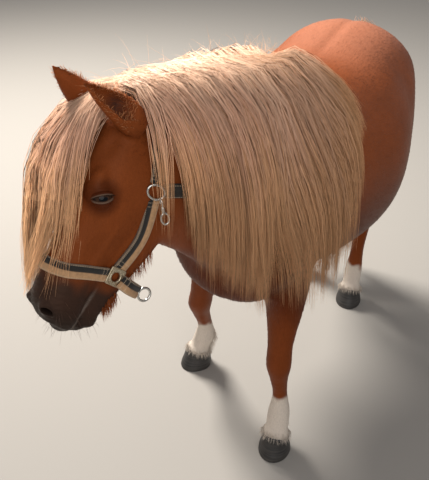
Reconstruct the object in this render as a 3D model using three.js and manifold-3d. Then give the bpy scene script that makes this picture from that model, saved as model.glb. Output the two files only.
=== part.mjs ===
// A life-size Shetland pony in a webbing halter, standing with its head lowered and turned to its right.
// Millimetres, +Z up. The pony faces -Y, its left side is +X, and its four hooves stand flat on z = 0.
import * as THREE from "three";
import { mergeVertices } from "three/addons/utils/BufferGeometryUtils.js";
import Module from "manifold-3d";

// Driving dimensions
const WITHERS_HEIGHT = 1000; // top of the withers above the ground
const HEAD_LENGTH = 418; // poll to upper lip
const SKIN_GAP = 0.3; // what two touching pieces keep between them
const CENTRE = [-76, 113]; // middle of the pony's box, seen from above

// Pose
const POLL = [-189, -409, 1004]; // top of the head, between the ears
const HEAD_TURN = -16.2; // degrees, towards the pony's right
const HEAD_DROP = 49; // degrees, the nose below the horizontal
const HEAD_TILT = -19.7; // degrees, about the line from poll to nose

// Hair
const MANE_LENGTH = 640; // root to tip, on the left side of the neck
const MANE_LOCKS = 19;
const OFF_SIDE_LOCKS = 6; // on the right side of the neck
const FORELOCK_LENGTH = 560;
const FORELOCK_LOCKS = 15;
const TAIL_LENGTH = 800;
const TAIL_LOCKS = 15;
const HAIR_SEED = 61;

const scale = WITHERS_HEIGHT / 1000; // body sizes below are for a pony of one metre
const headScale = HEAD_LENGTH / 410; // head sizes below are for a head of 410
const point = (x, y, z) => new THREE.Vector3(x, y, z);
const radians = THREE.MathUtils.degToRad;
const lerp = THREE.MathUtils.lerp;
const DOWN = point(0, 0, -1);

const wasm = await Module();
wasm.setup();

// A geometry as a solid that can be joined and cut, with its faces turned outwards.
function solidOf(geometry) {
  const bare = new THREE.BufferGeometry().setAttribute("position", geometry.getAttribute("position"));
  bare.setIndex(geometry.index);
  const merged = mergeVertices(bare, 1e-3);
  const corners = new Uint32Array(merged.index.array);
  const places = merged.attributes.position.array;
  const mesh = new wasm.Mesh({ numProp: 3, vertProperties: places, triVerts: corners });
  const make = () => new wasm.Manifold(mesh);
  const solid = make();
  if (solid.volume() > 0) return solid;
  for (let i = 0; i < corners.length; i += 3) {
    const second = corners[i + 1];
    corners[i + 1] = corners[i + 2];
    corners[i + 2] = second;
  }
  return make();
}

const largest = (solid) => solid.decompose().reduce((a, b) => (b.volume() > a.volume() ? b : a));
const joined = (solids) => solids.reduce((a, b) => a.add(b));
const without = (solid, others) => others.reduce((a, b) => a.subtract(b), solid);

const pony = new THREE.Group();

// One named mesh of the pony, in its own finish: the largest closed body of a solid.
function addNode(name, solid, { color, roughness, metalness }) {
  const { numProp, vertProperties, triVerts } = largest(solid).getMesh();
  const places = new Float32Array((vertProperties.length / numProp) * 3);
  for (let i = 0; i < places.length / 3; i++) {
    places.set(vertProperties.subarray(i * numProp, i * numProp + 3), i * 3);
  }
  const geometry = new THREE.BufferGeometry();
  geometry.setAttribute("position", new THREE.BufferAttribute(places, 3));
  geometry.setIndex(new THREE.BufferAttribute(triVerts, 1));
  geometry.computeVertexNormals();
  const mesh = new THREE.Mesh(geometry, new THREE.MeshStandardMaterial({ color, roughness, metalness }));
  mesh.name = name;
  pony.add(mesh);
}

const CHESTNUT = { color: 0x9c4f24, roughness: 0.55, metalness: 0 };
const FLAXEN = { color: 0xd9b483, roughness: 0.5, metalness: 0 };
const HORN = { color: 0x2c2a2a, roughness: 0.45, metalness: 0 };
const EYE = { color: 0x140c08, roughness: 0.08, metalness: 0 };
const WEBBING = { color: 0x6a675c, roughness: 0.8, metalness: 0 };
const BRASS = { color: 0xcdbf9a, roughness: 0.4, metalness: 0.9 };
const CHROME = { color: 0xc9c9c6, roughness: 0.15, metalness: 1 };

// A tube's sections at any place along it, from 0 to 1: centre, side and top directions, and half sizes
// to the side, up and down. Square is 2 for an ellipse and more for a fuller section. The sections stand
// across the tube, or all across one way.
class Form {
  constructor(sections, grow = 0, way = null) {
    const through = (pick) => new THREE.CatmullRomCurve3(sections.map(pick), false, "catmullrom", 0.5);
    this.centres = through((s) => s.at.clone());
    this.sizes = through((s) => point(s.wide + grow, s.up + grow, s.down + grow));
    this.sides = through((s) => s.side ?? point(1, 0, 0));
    this.square = sections[0].square ?? 2;
    this.grow = grow;
    this.way = way;
    this.samples = null;
  }

  at(t) {
    const forward = this.way ? this.way.clone() : this.centres.getTangent(t);
    const side = this.sides.getPoint(t);
    side.addScaledVector(forward, -side.dot(forward)).normalize();
    const half = this.sizes.getPoint(t);
    const top = forward.clone().cross(side);
    return { centre: this.centres.getPoint(t), forward, side, top, wide: half.x, up: half.y, down: half.z };
  }

  // How far a place stands out from the tube, and the way out.
  outwards(place) {
    this.samples ??= Array.from({ length: 41 }, (_, i) => this.at(i / 40));
    let best = null;
    for (const s of this.samples) {
      const offset = place.clone().sub(s.centre);
      const along = Math.abs(offset.dot(s.forward));
      if (!best || along < best.along) best = { s, offset, along };
    }
    const { s, offset, along } = best;
    if (along > 30) return { distance: along, way: offset.normalize() };
    const a = offset.dot(s.side);
    const b = offset.dot(s.top);
    const height = b > 0 ? s.up : s.down;
    const power = this.square;
    const rho = (Math.abs(a / s.wide) ** power + Math.abs(b / height) ** power) ** (1 / power);
    const way = s.side.clone().multiplyScalar(a / s.wide ** 2).addScaledVector(s.top, b / height ** 2);
    way.normalize();
    return { distance: Math.hypot(a, b) * (1 - 1 / Math.max(rho, 0.2)), way };
  }
}

// A closed tube through a form: a sphere's rings are laid on its sections, and its poles close the ends.
function tube(form, sides, rings) {
  const ball = new THREE.SphereGeometry(1, sides, rings);
  const places = ball.getAttribute("position");
  for (let i = 0; i < places.count; i++) {
    const ring = Math.floor(i / (sides + 1));
    const s = form.at(THREE.MathUtils.clamp((ring - 1) / (rings - 2), 0, 1));
    const p = s.centre.clone();
    if (ring < 2) p.addScaledVector(s.forward, -form.grow);
    if (ring > rings - 2) p.addScaledVector(s.forward, form.grow);
    if (ring > 0 && ring < rings) {
      const turn = ((i % (sides + 1)) / sides) * 2 * Math.PI;
      const across = Math.sign(Math.cos(turn)) * Math.abs(Math.cos(turn)) ** (2 / form.square);
      const upright = Math.sign(Math.sin(turn)) * Math.abs(Math.sin(turn)) ** (2 / form.square);
      p.addScaledVector(s.side, s.wide * across);
      p.addScaledVector(s.top, (upright > 0 ? s.up : s.down) * upright);
    }
    places.setXYZ(i, p.x, p.y, p.z);
  }
  return solidOf(ball);
}

// All the space beyond a plane, out to a good reach.
function beyond(origin, normal, reach = 1600) {
  const box = new THREE.BoxGeometry(reach, reach, reach);
  box.translate(0, 0, reach / 2);
  const turn = new THREE.Quaternion().setFromUnitVectors(point(0, 0, 1), normal.clone().normalize());
  box.applyQuaternion(turn);
  box.translate(origin.x, origin.y, origin.z);
  return solidOf(box);
}

// An ellipsoid with its half sizes along three directions given by a matrix.
function lump(centre, [a, b, c], turn, sides = 10, rings = 6) {
  const ball = new THREE.SphereGeometry(1, sides, rings);
  ball.rotateX(Math.PI / 2);
  ball.scale(a, b, c);
  ball.applyMatrix4(turn);
  ball.translate(centre.x, centre.y, centre.z);
  return solidOf(ball);
}

// Torso: one tube from the buttocks to the breast, with a round belly and a broad croup
const TORSO = [
  // x, y, height of the centre, half width, up, down
  [0, 694, 786, 118, 112, 150],
  [0, 620, 798, 188, 166, 186],
  [2, 520, 768, 222, 220, 220],
  [6, 400, 718, 246, 262, 242],
  [6, 260, 694, 264, 268, 260],
  [0, 120, 712, 242, 258, 276],
  [-8, -20, 732, 210, 268, 270],
  [-10, -150, 700, 184, 246, 224],
  [-8, -236, 664, 144, 146, 158],
  [-6, -268, 660, 84, 78, 88],
];
const torsoForm = (grow) =>
  new Form(
    TORSO.map(([x, y, z, wide, up, down]) => ({
      at: point(x, y, z).multiplyScalar(scale),
      wide: wide * scale,
      up: up * scale,
      down: down * scale,
      square: 2.15,
    })),
    grow,
    point(0, -1, 0),
  );

// Head directions: left, down the nose, and up out of the forehead
const headTurn = new THREE.Matrix4()
  .makeRotationZ(radians(HEAD_TURN))
  .multiply(new THREE.Matrix4().makeRotationX(radians(HEAD_DROP)))
  .multiply(new THREE.Matrix4().makeRotationY(radians(HEAD_TILT)));
const poll = point(...POLL).multiplyScalar(scale);
const headWay = (left, nose, up) => point(left, -nose, up).transformDirection(headTurn);
const onHead = (left, nose, up) =>
  point(left, -nose, up).multiplyScalar(headScale).applyMatrix4(headTurn).add(poll);

// Neck: deep and heavily crested, from the shoulders to the poll, bending to the pony's right
const NECK = [
  // x, y, z, half width, up, down
  [0, 20, 770, 150, 205, 250],
  [-8, -110, 800, 140, 222, 262],
  [-42, -225, 840, 112, 204, 222],
  [-104, -325, 872, 88, 170, 170],
  [-160, -388, 892, 72, 128, 132],
  [-196, -420, 900, 60, 92, 108],
];
const neckForm = (grow) =>
  new Form(
    NECK.map(([x, y, z, wide, up, down], i) => ({
      at: point(x, y, z).multiplyScalar(scale),
      wide: wide * scale,
      up: up * scale,
      down: down * scale,
      side: point(1, 0, 0).lerp(headWay(1, 0, 0), (i / (NECK.length - 1)) ** 2),
    })),
    grow,
  );

// Head: the face from poll to upper lip, and the jaw from the jowls to the chin
const FACE = [
  // down the nose, height, half width, up, down
  [-28, -60, 40, 36, 50],
  [16, -66, 62, 62, 80],
  [90, -80, 74, 84, 100],
  [150, -84, 74, 80, 92],
  [215, -92, 58, 73, 70],
  [280, -95, 50, 63, 54],
  [335, -98, 52, 61, 48],
  [376, -104, 53, 56, 44],
  [402, -113, 42, 40, 36],
];
const JAW = [
  [26, -122, 36, 40, 48],
  [62, -134, 60, 60, 88],
  [118, -138, 62, 60, 98],
  [190, -142, 49, 50, 88],
  [260, -146, 38, 40, 66],
  [320, -150, 36, 30, 45],
  [366, -156, 32, 24, 28],
];
const headForm = (rows, grow) =>
  new Form(
    rows.map(([nose, height, wide, up, down]) => ({
      at: onHead(0, nose, height),
      wide: wide * headScale,
      up: up * headScale,
      down: down * headScale,
      side: headWay(1, 0, 0),
      square: 2.2,
    })),
    grow,
    headWay(0, 1, 0),
  );

// Legs: sections from the body down to the coronet, and where each hoof stands
const FORE_LEG = [
  // height, forward of the leg's line, half width, forward, back
  [660, 0, 60, 84, 84],
  [540, -8, 60, 86, 84],
  [440, -6, 48, 58, 62],
  [350, 12, 34, 38, 40],
  [292, 16, 34, 37, 36],
  [240, 6, 25, 27, 30],
  [175, -14, 21, 23, 28],
  [112, -14, 31, 28, 42],
  [76, -4, 31, 28, 38],
  [50, 4, 33, 33, 36],
  [30, 8, 33, 34, 36],
];
const HIND_LEG = [
  [800, 0, 90, 120, 110],
  [690, 18, 92, 150, 132],
  [560, 22, 80, 124, 118],
  [450, -26, 52, 68, 72],
  [368, -66, 35, 40, 48],
  [300, -60, 29, 33, 36],
  [200, -38, 23, 26, 29],
  [118, -20, 31, 28, 43],
  [78, -4, 31, 28, 38],
  [50, 4, 33, 33, 36],
  [30, 8, 33, 34, 36],
];
const LEGS = {
  foreleg_left: { rows: FORE_LEG, top: [88, -98], foot: [124, -152], turn: 6, sign: 1, cut: [530, 16] },
  foreleg_right: { rows: FORE_LEG, top: [-110, -80], foot: [-220, 60], turn: -28, sign: -1, cut: [530, 16] },
  hindleg_left: { rows: HIND_LEG, top: [116, 560], foot: [104, 600], turn: 8, sign: 1, cut: [600, 24] },
  hindleg_right: { rows: HIND_LEG, top: [-112, 560], foot: [-112, 690], turn: -6, sign: -1, cut: [600, 24] },
};
const CORONET = 50; // height of the coronet at the middle of the hoof

// A leg's line runs straight from the body to the foot, and the joints stand off it, fore and aft.
function legForm({ rows, top, foot, turn }, grow) {
  return new Form(
    rows.map(([z, ahead, wide, front, back]) => {
      const drop = Math.min(1, (rows[0][0] - z) / (rows[0][0] - CORONET));
      const swing = radians(turn) * drop;
      const x = lerp(top[0], foot[0], drop) + ahead * Math.sin(swing);
      const y = lerp(top[1], foot[1], drop) - ahead * Math.cos(swing);
      return {
        at: point(x, y, z).multiplyScalar(scale),
        wide: wide * scale,
        up: front * scale,
        down: back * scale,
        side: point(Math.cos(swing), Math.sin(swing), 0),
      };
    }),
    grow,
    DOWN,
  );
}

// A hoof stands flat, wider at the sole than at the coronet, and the leg ends on the slope of the coronet.
function hoofOf({ foot, turn }) {
  const rows = [
    // height, half width, front, back
    [0, 43, 56, 40],
    [12, 42, 53, 40],
    [CORONET, 35, 35, 36],
  ];
  const slope = 0.3;
  const block = new THREE.CylinderGeometry(1, 1, 2, 18, 2);
  const places = block.getAttribute("position");
  const swing = radians(turn);
  for (let i = 0; i < places.count; i++) {
    const [z, wide, front, back] = rows[Math.round(places.getY(i)) + 1];
    const a = places.getX(i) * wide;
    const ahead = places.getZ(i) * (places.getZ(i) > 0 ? front : back);
    const height = z + (z === CORONET ? slope * ahead : 0);
    const x = foot[0] + ahead * Math.sin(swing) + a * Math.cos(swing);
    const y = foot[1] - ahead * Math.cos(swing) + a * Math.sin(swing);
    places.setXYZ(i, x * scale, y * scale, height * scale);
  }
  const at = point(foot[0], foot[1], CORONET).multiplyScalar(scale);
  const up = point(-slope * Math.sin(swing), slope * Math.cos(swing), 1).normalize();
  return { hoof: solidOf(block), above: beyond(at.addScaledVector(up, SKIN_GAP), up) };
}

// Torso, neck, head and legs: the torso and head are whole, and what meets them stops on a thin cut.
const flesh = (grow) => ({
  torso: tube(torsoForm(grow), 24, 14),
  neck: tube(neckForm(grow), 18, 9),
  face: tube(headForm(FACE, grow), 16, 13),
  jaw: tube(headForm(JAW, grow), 12, 9),
});
const skin = flesh(0);
const clear = flesh(SKIN_GAP);
const legTops = [];
const legTopsClear = [];
const legForms = [];
for (const [name, leg] of Object.entries(LEGS)) {
  const [height, slope] = leg.cut;
  const at = point(leg.top[0], leg.top[1], height).multiplyScalar(scale);
  const way = point(leg.sign * Math.sin(radians(slope)), 0, -Math.cos(radians(slope)));
  const whole = tube(legForm(leg, 0), 12, 14);
  legForms.push(legForm(leg, 0));
  legTops.push(whole.subtract(beyond(at, way)));
  legTopsClear.push(tube(legForm(leg, SKIN_GAP), 12, 14));
  const lower = whole.intersect(beyond(at.clone().addScaledVector(way, SKIN_GAP), way));
  const { hoof, above } = hoofOf(leg);
  addNode(name, without(lower.intersect(above), [clear.torso]), CHESTNUT);
  addNode(name.replace("leg", "hoof"), hoof, HORN);
}
addNode("torso", joined([skin.torso, ...legTops]), CHESTNUT);
addNode("neck", without(skin.neck, [clear.torso, clear.face, clear.jaw, ...legTopsClear]), CHESTNUT);

// Head: brows, lids round each eye, flared nostrils, and a mouth line between full lips
const mirror = [["left", 1], ["right", -1]];
const headBasis = (out) => {
  const nose = headWay(0, 1, 0);
  nose.addScaledVector(out, -nose.dot(out)).normalize();
  return new THREE.Matrix4().makeBasis(out, nose, out.clone().cross(nose));
};
let head = joined([
  skin.face,
  skin.jaw,
  lump(onHead(0, 398, -120), [34, 18, 22], headBasis(headWay(1, 0, 0))),
  lump(onHead(0, 371, -167), [31, 22, 21], headBasis(headWay(1, 0, 0))),
  lump(onHead(0, 388, -151), [28, 17, 15], headBasis(headWay(1, 0, 0))),
]);
const EYE_RADIUS = 21;
const LID = 3; // thickness of the lids
const eyes = {};
for (const [side, sign] of mirror) {
  const at = onHead(sign * 62, 150, -46);
  const out = headWay(sign, 0.1, 0.2);
  const slit = headWay(0, 0.6, 0.8);
  slit.addScaledVector(out, -slit.dot(out)).normalize();
  const turn = new THREE.Matrix4().makeBasis(out, slit, out.clone().cross(slit));
  const ball = (radius) => lump(at, [radius, radius, radius], turn, 12, 8);
  const brow = lump(onHead(sign * 54, 132, -26), [18, 36, 13], headBasis(out));
  const opening = lump(at.clone().addScaledVector(out, EYE_RADIUS), [14, 22, 7.5], turn, 12, 6);
  const nostrilOut = headWay(sign, 0.75, 0.25);
  const nostril = onHead(sign * 33, 374, -68);
  const rim = lump(nostril, [12, 18, 20], headBasis(nostrilOut), 12, 6);
  nostril.addScaledVector(nostrilOut, 8);
  const hole = lump(nostril, [15, 8, 13], headBasis(nostrilOut), 10, 6);
  head = head.add(brow).add(ball(EYE_RADIUS + LID)).subtract(opening).subtract(ball(EYE_RADIUS + SKIN_GAP));
  head = head.add(rim).subtract(hole);
  eyes[side] = ball(EYE_RADIUS);
}
const mouthCut = new THREE.BoxGeometry(160, 120, 3).translate(0, -60, 0).rotateX(radians(-2));
mouthCut.applyMatrix4(headTurn);
mouthCut.translate(...onHead(0, 316, -140).toArray());
const mouthCore = new THREE.BoxGeometry(46, 80, 12).translate(0, -40, 0);
mouthCore.applyMatrix4(headTurn);
mouthCore.translate(...onHead(0, 308, -140).toArray());
head = head.subtract(solidOf(mouthCut).subtract(solidOf(mouthCore)));
addNode("head", head, CHESTNUT);
for (const [side] of mirror) addNode(`eye_${side}`, eyes[side], EYE);

// Ears: short and broad, each a real cup that opens outwards, with its base standing on the head
const EAR_LENGTH = 133;
const EAR = [
  // share of the length, half width, half depth
  [-0.12, 28, 24],
  [0.1, 36, 26],
  [0.35, 32, 20],
  [0.62, 24, 14],
  [0.85, 13, 8],
  [1, 3.5, 3.5],
];
const EARS = {
  // where the base stands on the head and which way the ear points
  left: [[61, 2, -36], [0.22, -0.08, 0.97]],
  right: [[-48, 8, -10], [0.04, -0.25, 1]],
};
const earsClear = [];
for (const [side, sign] of mirror) {
  const base = onHead(...EARS[side][0]);
  const way = headWay(...EARS[side][1]);
  const mouth = headWay(sign, -0.6, -0.1);
  const across = mouth.clone().cross(way).normalize();
  const front = way.clone().cross(across).normalize();
  const earForm = (rows, shrink, ahead, grow = 0) =>
    new Form(
      rows.map(([share, wide, deep]) => ({
        at: base
          .clone()
          .addScaledVector(way, share * EAR_LENGTH * headScale)
          .addScaledVector(front, ahead - 10 * share * share),
        wide: wide * shrink * headScale,
        up: deep * shrink * headScale,
        down: deep * shrink * headScale,
        side: across,
      })),
      grow,
      way,
    );
  earsClear.push(tube(earForm(EAR, 1, 0, 1), 12, 9));
  const outer = tube(earForm(EAR, 1, 0), 12, 9);
  const cup = tube(earForm(EAR.slice(1, -1), 0.78, 9), 10, 8);
  addNode(`ear_${side}`, without(outer.subtract(cup), [clear.face, clear.neck]), CHESTNUT);
}

// Halter: padded webbing round the head, joined by a cast square at each cheek and an oval ring above it
const underHalter = [headForm(FACE, 0), headForm(JAW, 0), neckForm(0)];
const WEBBING_WIDTH = 28;
function onHide(nose, angle) {
  const ray = headWay(Math.cos(radians(angle)), 0, Math.sin(radians(angle)));
  const at = onHead(0, nose, -105).addScaledVector(ray, 200);
  for (let reach = 200; reach > 20; reach--) {
    const hides = underHalter.map((form) => form.outwards(at)).sort((a, b) => a.distance - b.distance);
    if (hides[0].distance <= 0) return { at, out: hides[0].way };
    at.sub(ray);
  }
  return { at, out: ray };
}
function strap(stations, wide, inner, outer, steps) {
  const places = stations.map(([nose, angle]) => onHide(nose, angle));
  const slack = stations.map((station) => station[2] ?? 0);
  const line = new THREE.CatmullRomCurve3(places.map((p, i) => p.at.addScaledVector(p.out, slack[i])));
  const outs = new THREE.CatmullRomCurve3(places.map((p) => p.out));
  const band = new THREE.BoxGeometry(1, 1, 1, steps, 1, 1);
  const corners = band.getAttribute("position");
  for (let i = 0; i < corners.count; i++) {
    const t = THREE.MathUtils.clamp(corners.getX(i) + 0.5, 0, 1);
    const along = line.getTangent(t);
    const out = outs.getPoint(t);
    out.addScaledVector(along, -out.dot(along)).normalize();
    const p = line.getPoint(t);
    p.addScaledVector(out, corners.getY(i) > 0 ? outer : inner);
    p.addScaledVector(along.cross(out), corners.getZ(i) * wide);
    corners.setXYZ(i, p.x, p.y, p.z);
  }
  return solidOf(band);
}
const outwardTurn = (out) => headBasis(out).multiply(new THREE.Matrix4().makeRotationY(Math.PI / 2));
function placed(geometry, turn, at) {
  geometry.applyMatrix4(turn);
  geometry.translate(at.x, at.y, at.z);
  return solidOf(geometry);
}
const plate = (wide, thick, hole) => {
  const half = wide / 2;
  const outline = new THREE.Shape();
  for (const [i, x, y] of [[0, 1, 1], [1, -1, 1], [2, -1, -1], [3, 1, -1]]) {
    outline.absarc(x * (half - 4), y * (half - 4), 4, (i * Math.PI) / 2, ((i + 1) * Math.PI) / 2);
  }
  if (hole) outline.holes.push(new THREE.Path().absarc(0, 0, hole, 0, 2 * Math.PI, true));
  const slab = new THREE.ExtrudeGeometry(outline, { depth: thick, bevelEnabled: false, curveSegments: 3 });
  return slab.translate(0, 0, -thick / 2);
};
const ringOf = (grow) => new THREE.TorusGeometry(14, 2.8 + grow, 6, 14);
const fittings = [];
const metal = [];
for (const [side, sign] of mirror) {
  const angle = (a) => (sign > 0 ? a : 180 - a);
  const square = onHide(272, angle(-56));
  const oval = onHide(94, angle(-24));
  const squareAt = square.at.clone().addScaledVector(square.out, 6);
  const ovalAt = oval.at.clone().addScaledVector(oval.out, 6);
  const stretch = new THREE.Matrix4().makeScale(1, 1.3, 1);
  const squareTurn = outwardTurn(square.out);
  const ovalTurn = outwardTurn(oval.out);
  const ovalRing = ringOf(0).applyMatrix4(stretch);
  const ovalRoom = new THREE.CylinderGeometry(20, 20, 40, 16).rotateX(Math.PI / 2).applyMatrix4(stretch);
  metal.push([`halter_square_${side}`, placed(plate(37, 6, 10), squareTurn, squareAt), BRASS]);
  metal.push([`halter_ring_${side}`, placed(ovalRing, ovalTurn, ovalAt), CHROME]);
  fittings.push(placed(plate(38, 40, 0), squareTurn, squareAt));
  fittings.push(placed(ovalRoom, ovalTurn, ovalAt));
}
const CHIN_SLACK = 38; // how far the chin strap hangs below the jaw
const tie = onHide(285, -90);
const tieAt = tie.at.clone().addScaledVector(tie.out, CHIN_SLACK + 22);
const tieTurn = headBasis(tie.out);
metal.push(["halter_tie_ring", placed(ringOf(0), tieTurn, tieAt), CHROME]);
const tieClear = placed(ringOf(SKIN_GAP), tieTurn, tieAt);
// A strap's stations: down the nose, angle from the left side upwards, and how far it hangs off the hide
const mirrored = (rows, sum) => rows.slice(0, -1).reverse().map(([nose, a, hang]) => [nose, sum - a, hang]);
const bothSides = (rows) => [...rows, ...mirrored(rows, 180)];
const underSides = (rows) => [...rows, ...mirrored(rows, -180)];
const STRAPS = {
  halter_noseband: [bothSides([[272, -56], [284, 4], [298, 48], [304, 90]]), 14],
  halter_chin_strap: [underSides([[272, -56], [280, -70, CHIN_SLACK * 0.6], [285, -90, CHIN_SLACK]]), 10],
  halter_cheek_strap_left: [[[272, -56], [184, -52], [94, -24]], 8],
  halter_cheek_strap_right: [[[272, 236], [184, 232], [94, 204]], 8],
  halter_crown: [bothSides([[94, -24], [42, -6], [-22, 32], [-46, 90]]), 14],
  halter_throat_strap: [underSides([[94, -24], [60, -48], [36, -70], [30, -90]]), 12],
};
const headClear = [clear.face, clear.jaw, clear.neck, clear.torso];
for (const [name, [stations, steps]] of Object.entries(STRAPS)) {
  const band = strap(stations, WEBBING_WIDTH, -5, 5, steps);
  addNode(name, without(band, [...headClear, ...fittings, ...earsClear, tieClear]), WEBBING);
}
for (const [name, solid, finish] of metal) addNode(name, without(solid, headClear), finish);
const halterClear = [
  ...Object.values(STRAPS).map(([stations, steps]) => strap(stations, WEBBING_WIDTH + 1.4, -9, 5.7, steps)),
  ...fittings,
];

// Hair: flat, tapered locks whose lines fall from their roots and lie on whatever is below them
let seed = HAIR_SEED;
function vary(low, high) {
  seed = (seed * 16807) % 2147483647;
  return lerp(low, high, seed / 2147483647);
}
const fleshForms = [torsoForm(0), neckForm(0), headForm(FACE, 0), headForm(JAW, 0), ...legForms];
function fall(root, start, length, height, weight = 0.3, steps = 14) {
  const line = [root.clone()];
  const way = start.clone().normalize();
  for (let i = 0; i < steps; i++) {
    way.lerp(DOWN, weight).normalize();
    const next = line[i].clone().addScaledVector(way, length / steps);
    for (const form of fleshForms) {
      const { distance, way: out } = form.outwards(next);
      if (distance < height) next.addScaledVector(out, height - distance);
    }
    way.copy(next).sub(line[i]).normalize();
    line.push(next);
  }
  return new THREE.CatmullRomCurve3(line);
}

// One lock along a line: full near a third of its length and drawn out to a fine tip
function lock(line, wide, thick, flat, rings = 7) {
  const stations = 8;
  const sections = Array.from({ length: stations }, (_, i) => {
    const t = i / (stations - 1);
    const full = t < 0.3 ? 0.5 + 0.5 * Math.sin((t / 0.3) * (Math.PI / 2)) : 1 - ((t - 0.3) / 0.7) ** 1.7;
    const size = Math.max(full, 0.08);
    return { at: line.getPoint(t), wide: wide * size, up: thick * size, down: thick * size, side: flat };
  });
  return tube(new Form(sections), 4, rings);
}

// Mane: a roll of roots on the crest, with locks that fall over the left side and some over the right
const CREST = [
  // share of the neck's length, height of the roots above it
  [0.32, 4],
  [0.45, 8],
  [0.58, 12],
  [0.71, 18],
  [0.85, 26],
  [0.97, 30],
];
const crestNeck = neckForm(0);
const crest = new THREE.CatmullRomCurve3([
  point(-2, -22, 1008).multiplyScalar(scale),
  point(-10, -76, 1020).multiplyScalar(scale),
  ...CREST.map(([t, lift]) => {
    const s = crestNeck.at(t);
    return s.centre.addScaledVector(s.top, s.up + lift);
  }),
]);
const rollSections = Array.from({ length: 7 }, (_, i) => ({
  at: crest.getPoint(i / 6).add(point(0, 0, 6)),
  wide: i === 0 || i === 6 ? 14 : 26,
  up: i === 0 ? 8 : 16 + 3 * i,
  down: 24,
}));
const maneParts = [tube(new Form(rollSections), 8, 10)];
function maneLock(t, side, reach, wide, thick, height) {
  const root = crest.getPoint(t).add(point(side * 4, 0, 8));
  const along = crest.getTangent(t);
  const start = point(side, Math.max(0, 0.3 - t), 0.42).addScaledVector(along, vary(-0.12, 0.12));
  maneParts.push(lock(fall(root, start, reach, height), wide, thick, along));
}
const MANE_FALL = new THREE.SplineCurve([
  // share of the mane's full length at the withers, along the neck and at the poll
  new THREE.Vector2(0, 0.62),
  new THREE.Vector2(0.33, 0.96),
  new THREE.Vector2(0.67, 0.92),
  new THREE.Vector2(1, 0.56),
]);
const CORE_LOCKS = 5;
for (let i = 0; i < CORE_LOCKS; i++) {
  maneLock(lerp(0.12, 0.78, i / (CORE_LOCKS - 1)), 1, MANE_LENGTH * 0.48, 54, 10, 12);
}
for (let i = 0; i < MANE_LOCKS; i++) {
  const t = lerp(0.03, 0.925, (i + 0.5) / MANE_LOCKS);
  const outer = i % 2;
  const reach = MANE_LENGTH * vary(0.92, 1.04) * MANE_FALL.getPoint(t).y;
  maneLock(t, 1, reach, vary(27, 34), vary(7, 9), outer ? 26 : 15);
}
for (let i = 0; i < OFF_SIDE_LOCKS; i++) {
  const t = lerp(0.05, 0.95, (i + 0.5) / OFF_SIDE_LOCKS);
  maneLock(t, -1, MANE_LENGTH * vary(0.45, 0.6), vary(28, 34), 8, 16);
}
const hairClear = [...headClear, ...legTopsClear, ...earsClear, ...halterClear];
addNode("mane", without(joined(maneParts), hairClear), FLAXEN);

// Forelock: springs from between the ears and falls over the face, most of it to the right
const forelockParts = [lump(onHead(0, -2, 16), [44, 34, 24], headBasis(headWay(1, 0, 0)))];
for (let i = 0; i < FORELOCK_LOCKS; i++) {
  const t = i / (FORELOCK_LOCKS - 1);
  const root = onHead(lerp(-32, 32, t), i % 2 ? 14 : -4, i % 2 ? 8 : 20);
  const start = headWay(lerp(-1.7, 0.48, t), lerp(0.55, 0.8, t), lerp(0.9, 0.45, t));
  const stand = [4, 18, 10][i % 3] + lerp(12, 0, t);
  const reach = FORELOCK_LENGTH * vary(0.84, 1.02) * lerp(1, 0.62, t);
  const line = fall(root, start, reach, stand, lerp(0.21, 0.17, t));
  forelockParts.push(lock(line, vary(16, 21), vary(5, 6.5), headWay(1, 0.2, 0)));
}
const mane = joined(maneParts);
addNode("forelock", without(joined(forelockParts), [...hairClear, mane]), FLAXEN);

// Tail: a dock that leaves the croup and hangs, with long locks all round it
const DOCK = [
  // y, z, half size
  [650, 926, 34],
  [712, 914, 33],
  [756, 858, 29],
  [770, 770, 24],
  [770, 680, 16],
];
const dockForm = new Form(
  DOCK.map(([y, z, r]) => ({
    at: point(0, y, z).multiplyScalar(scale),
    wide: r * scale,
    up: r * scale,
    down: r * scale,
  })),
);
const tailParts = [tube(dockForm, 10, 8)];
for (let i = 0; i < TAIL_LOCKS; i++) {
  const t = lerp(0.22, 0.92, (i % 4) / 3);
  const turn = (i / TAIL_LOCKS) * 2 * Math.PI * 2.4;
  const s = dockForm.at(t);
  const out = s.side.clone().multiplyScalar(Math.cos(turn)).addScaledVector(s.top, Math.sin(turn));
  const root = s.centre.clone().addScaledVector(out, s.wide * 0.5);
  const start = out.clone().multiplyScalar(0.45).addScaledVector(s.forward, 0.8);
  const length = Math.min(TAIL_LENGTH * vary(0.82, 1), root.z - 70);
  const line = fall(root, start, length, 14, 0.4);
  tailParts.push(lock(line, vary(22, 30), vary(8, 11), out.clone().cross(DOWN)));
}
addNode("tail", without(joined(tailParts), [clear.torso, ...legTopsClear]), FLAXEN);

pony.position.set(-CENTRE[0], -CENTRE[1], 0);

export default pony;
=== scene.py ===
import math

import bmesh
import bpy
import numpy as np
from mathutils import Matrix, Vector


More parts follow.
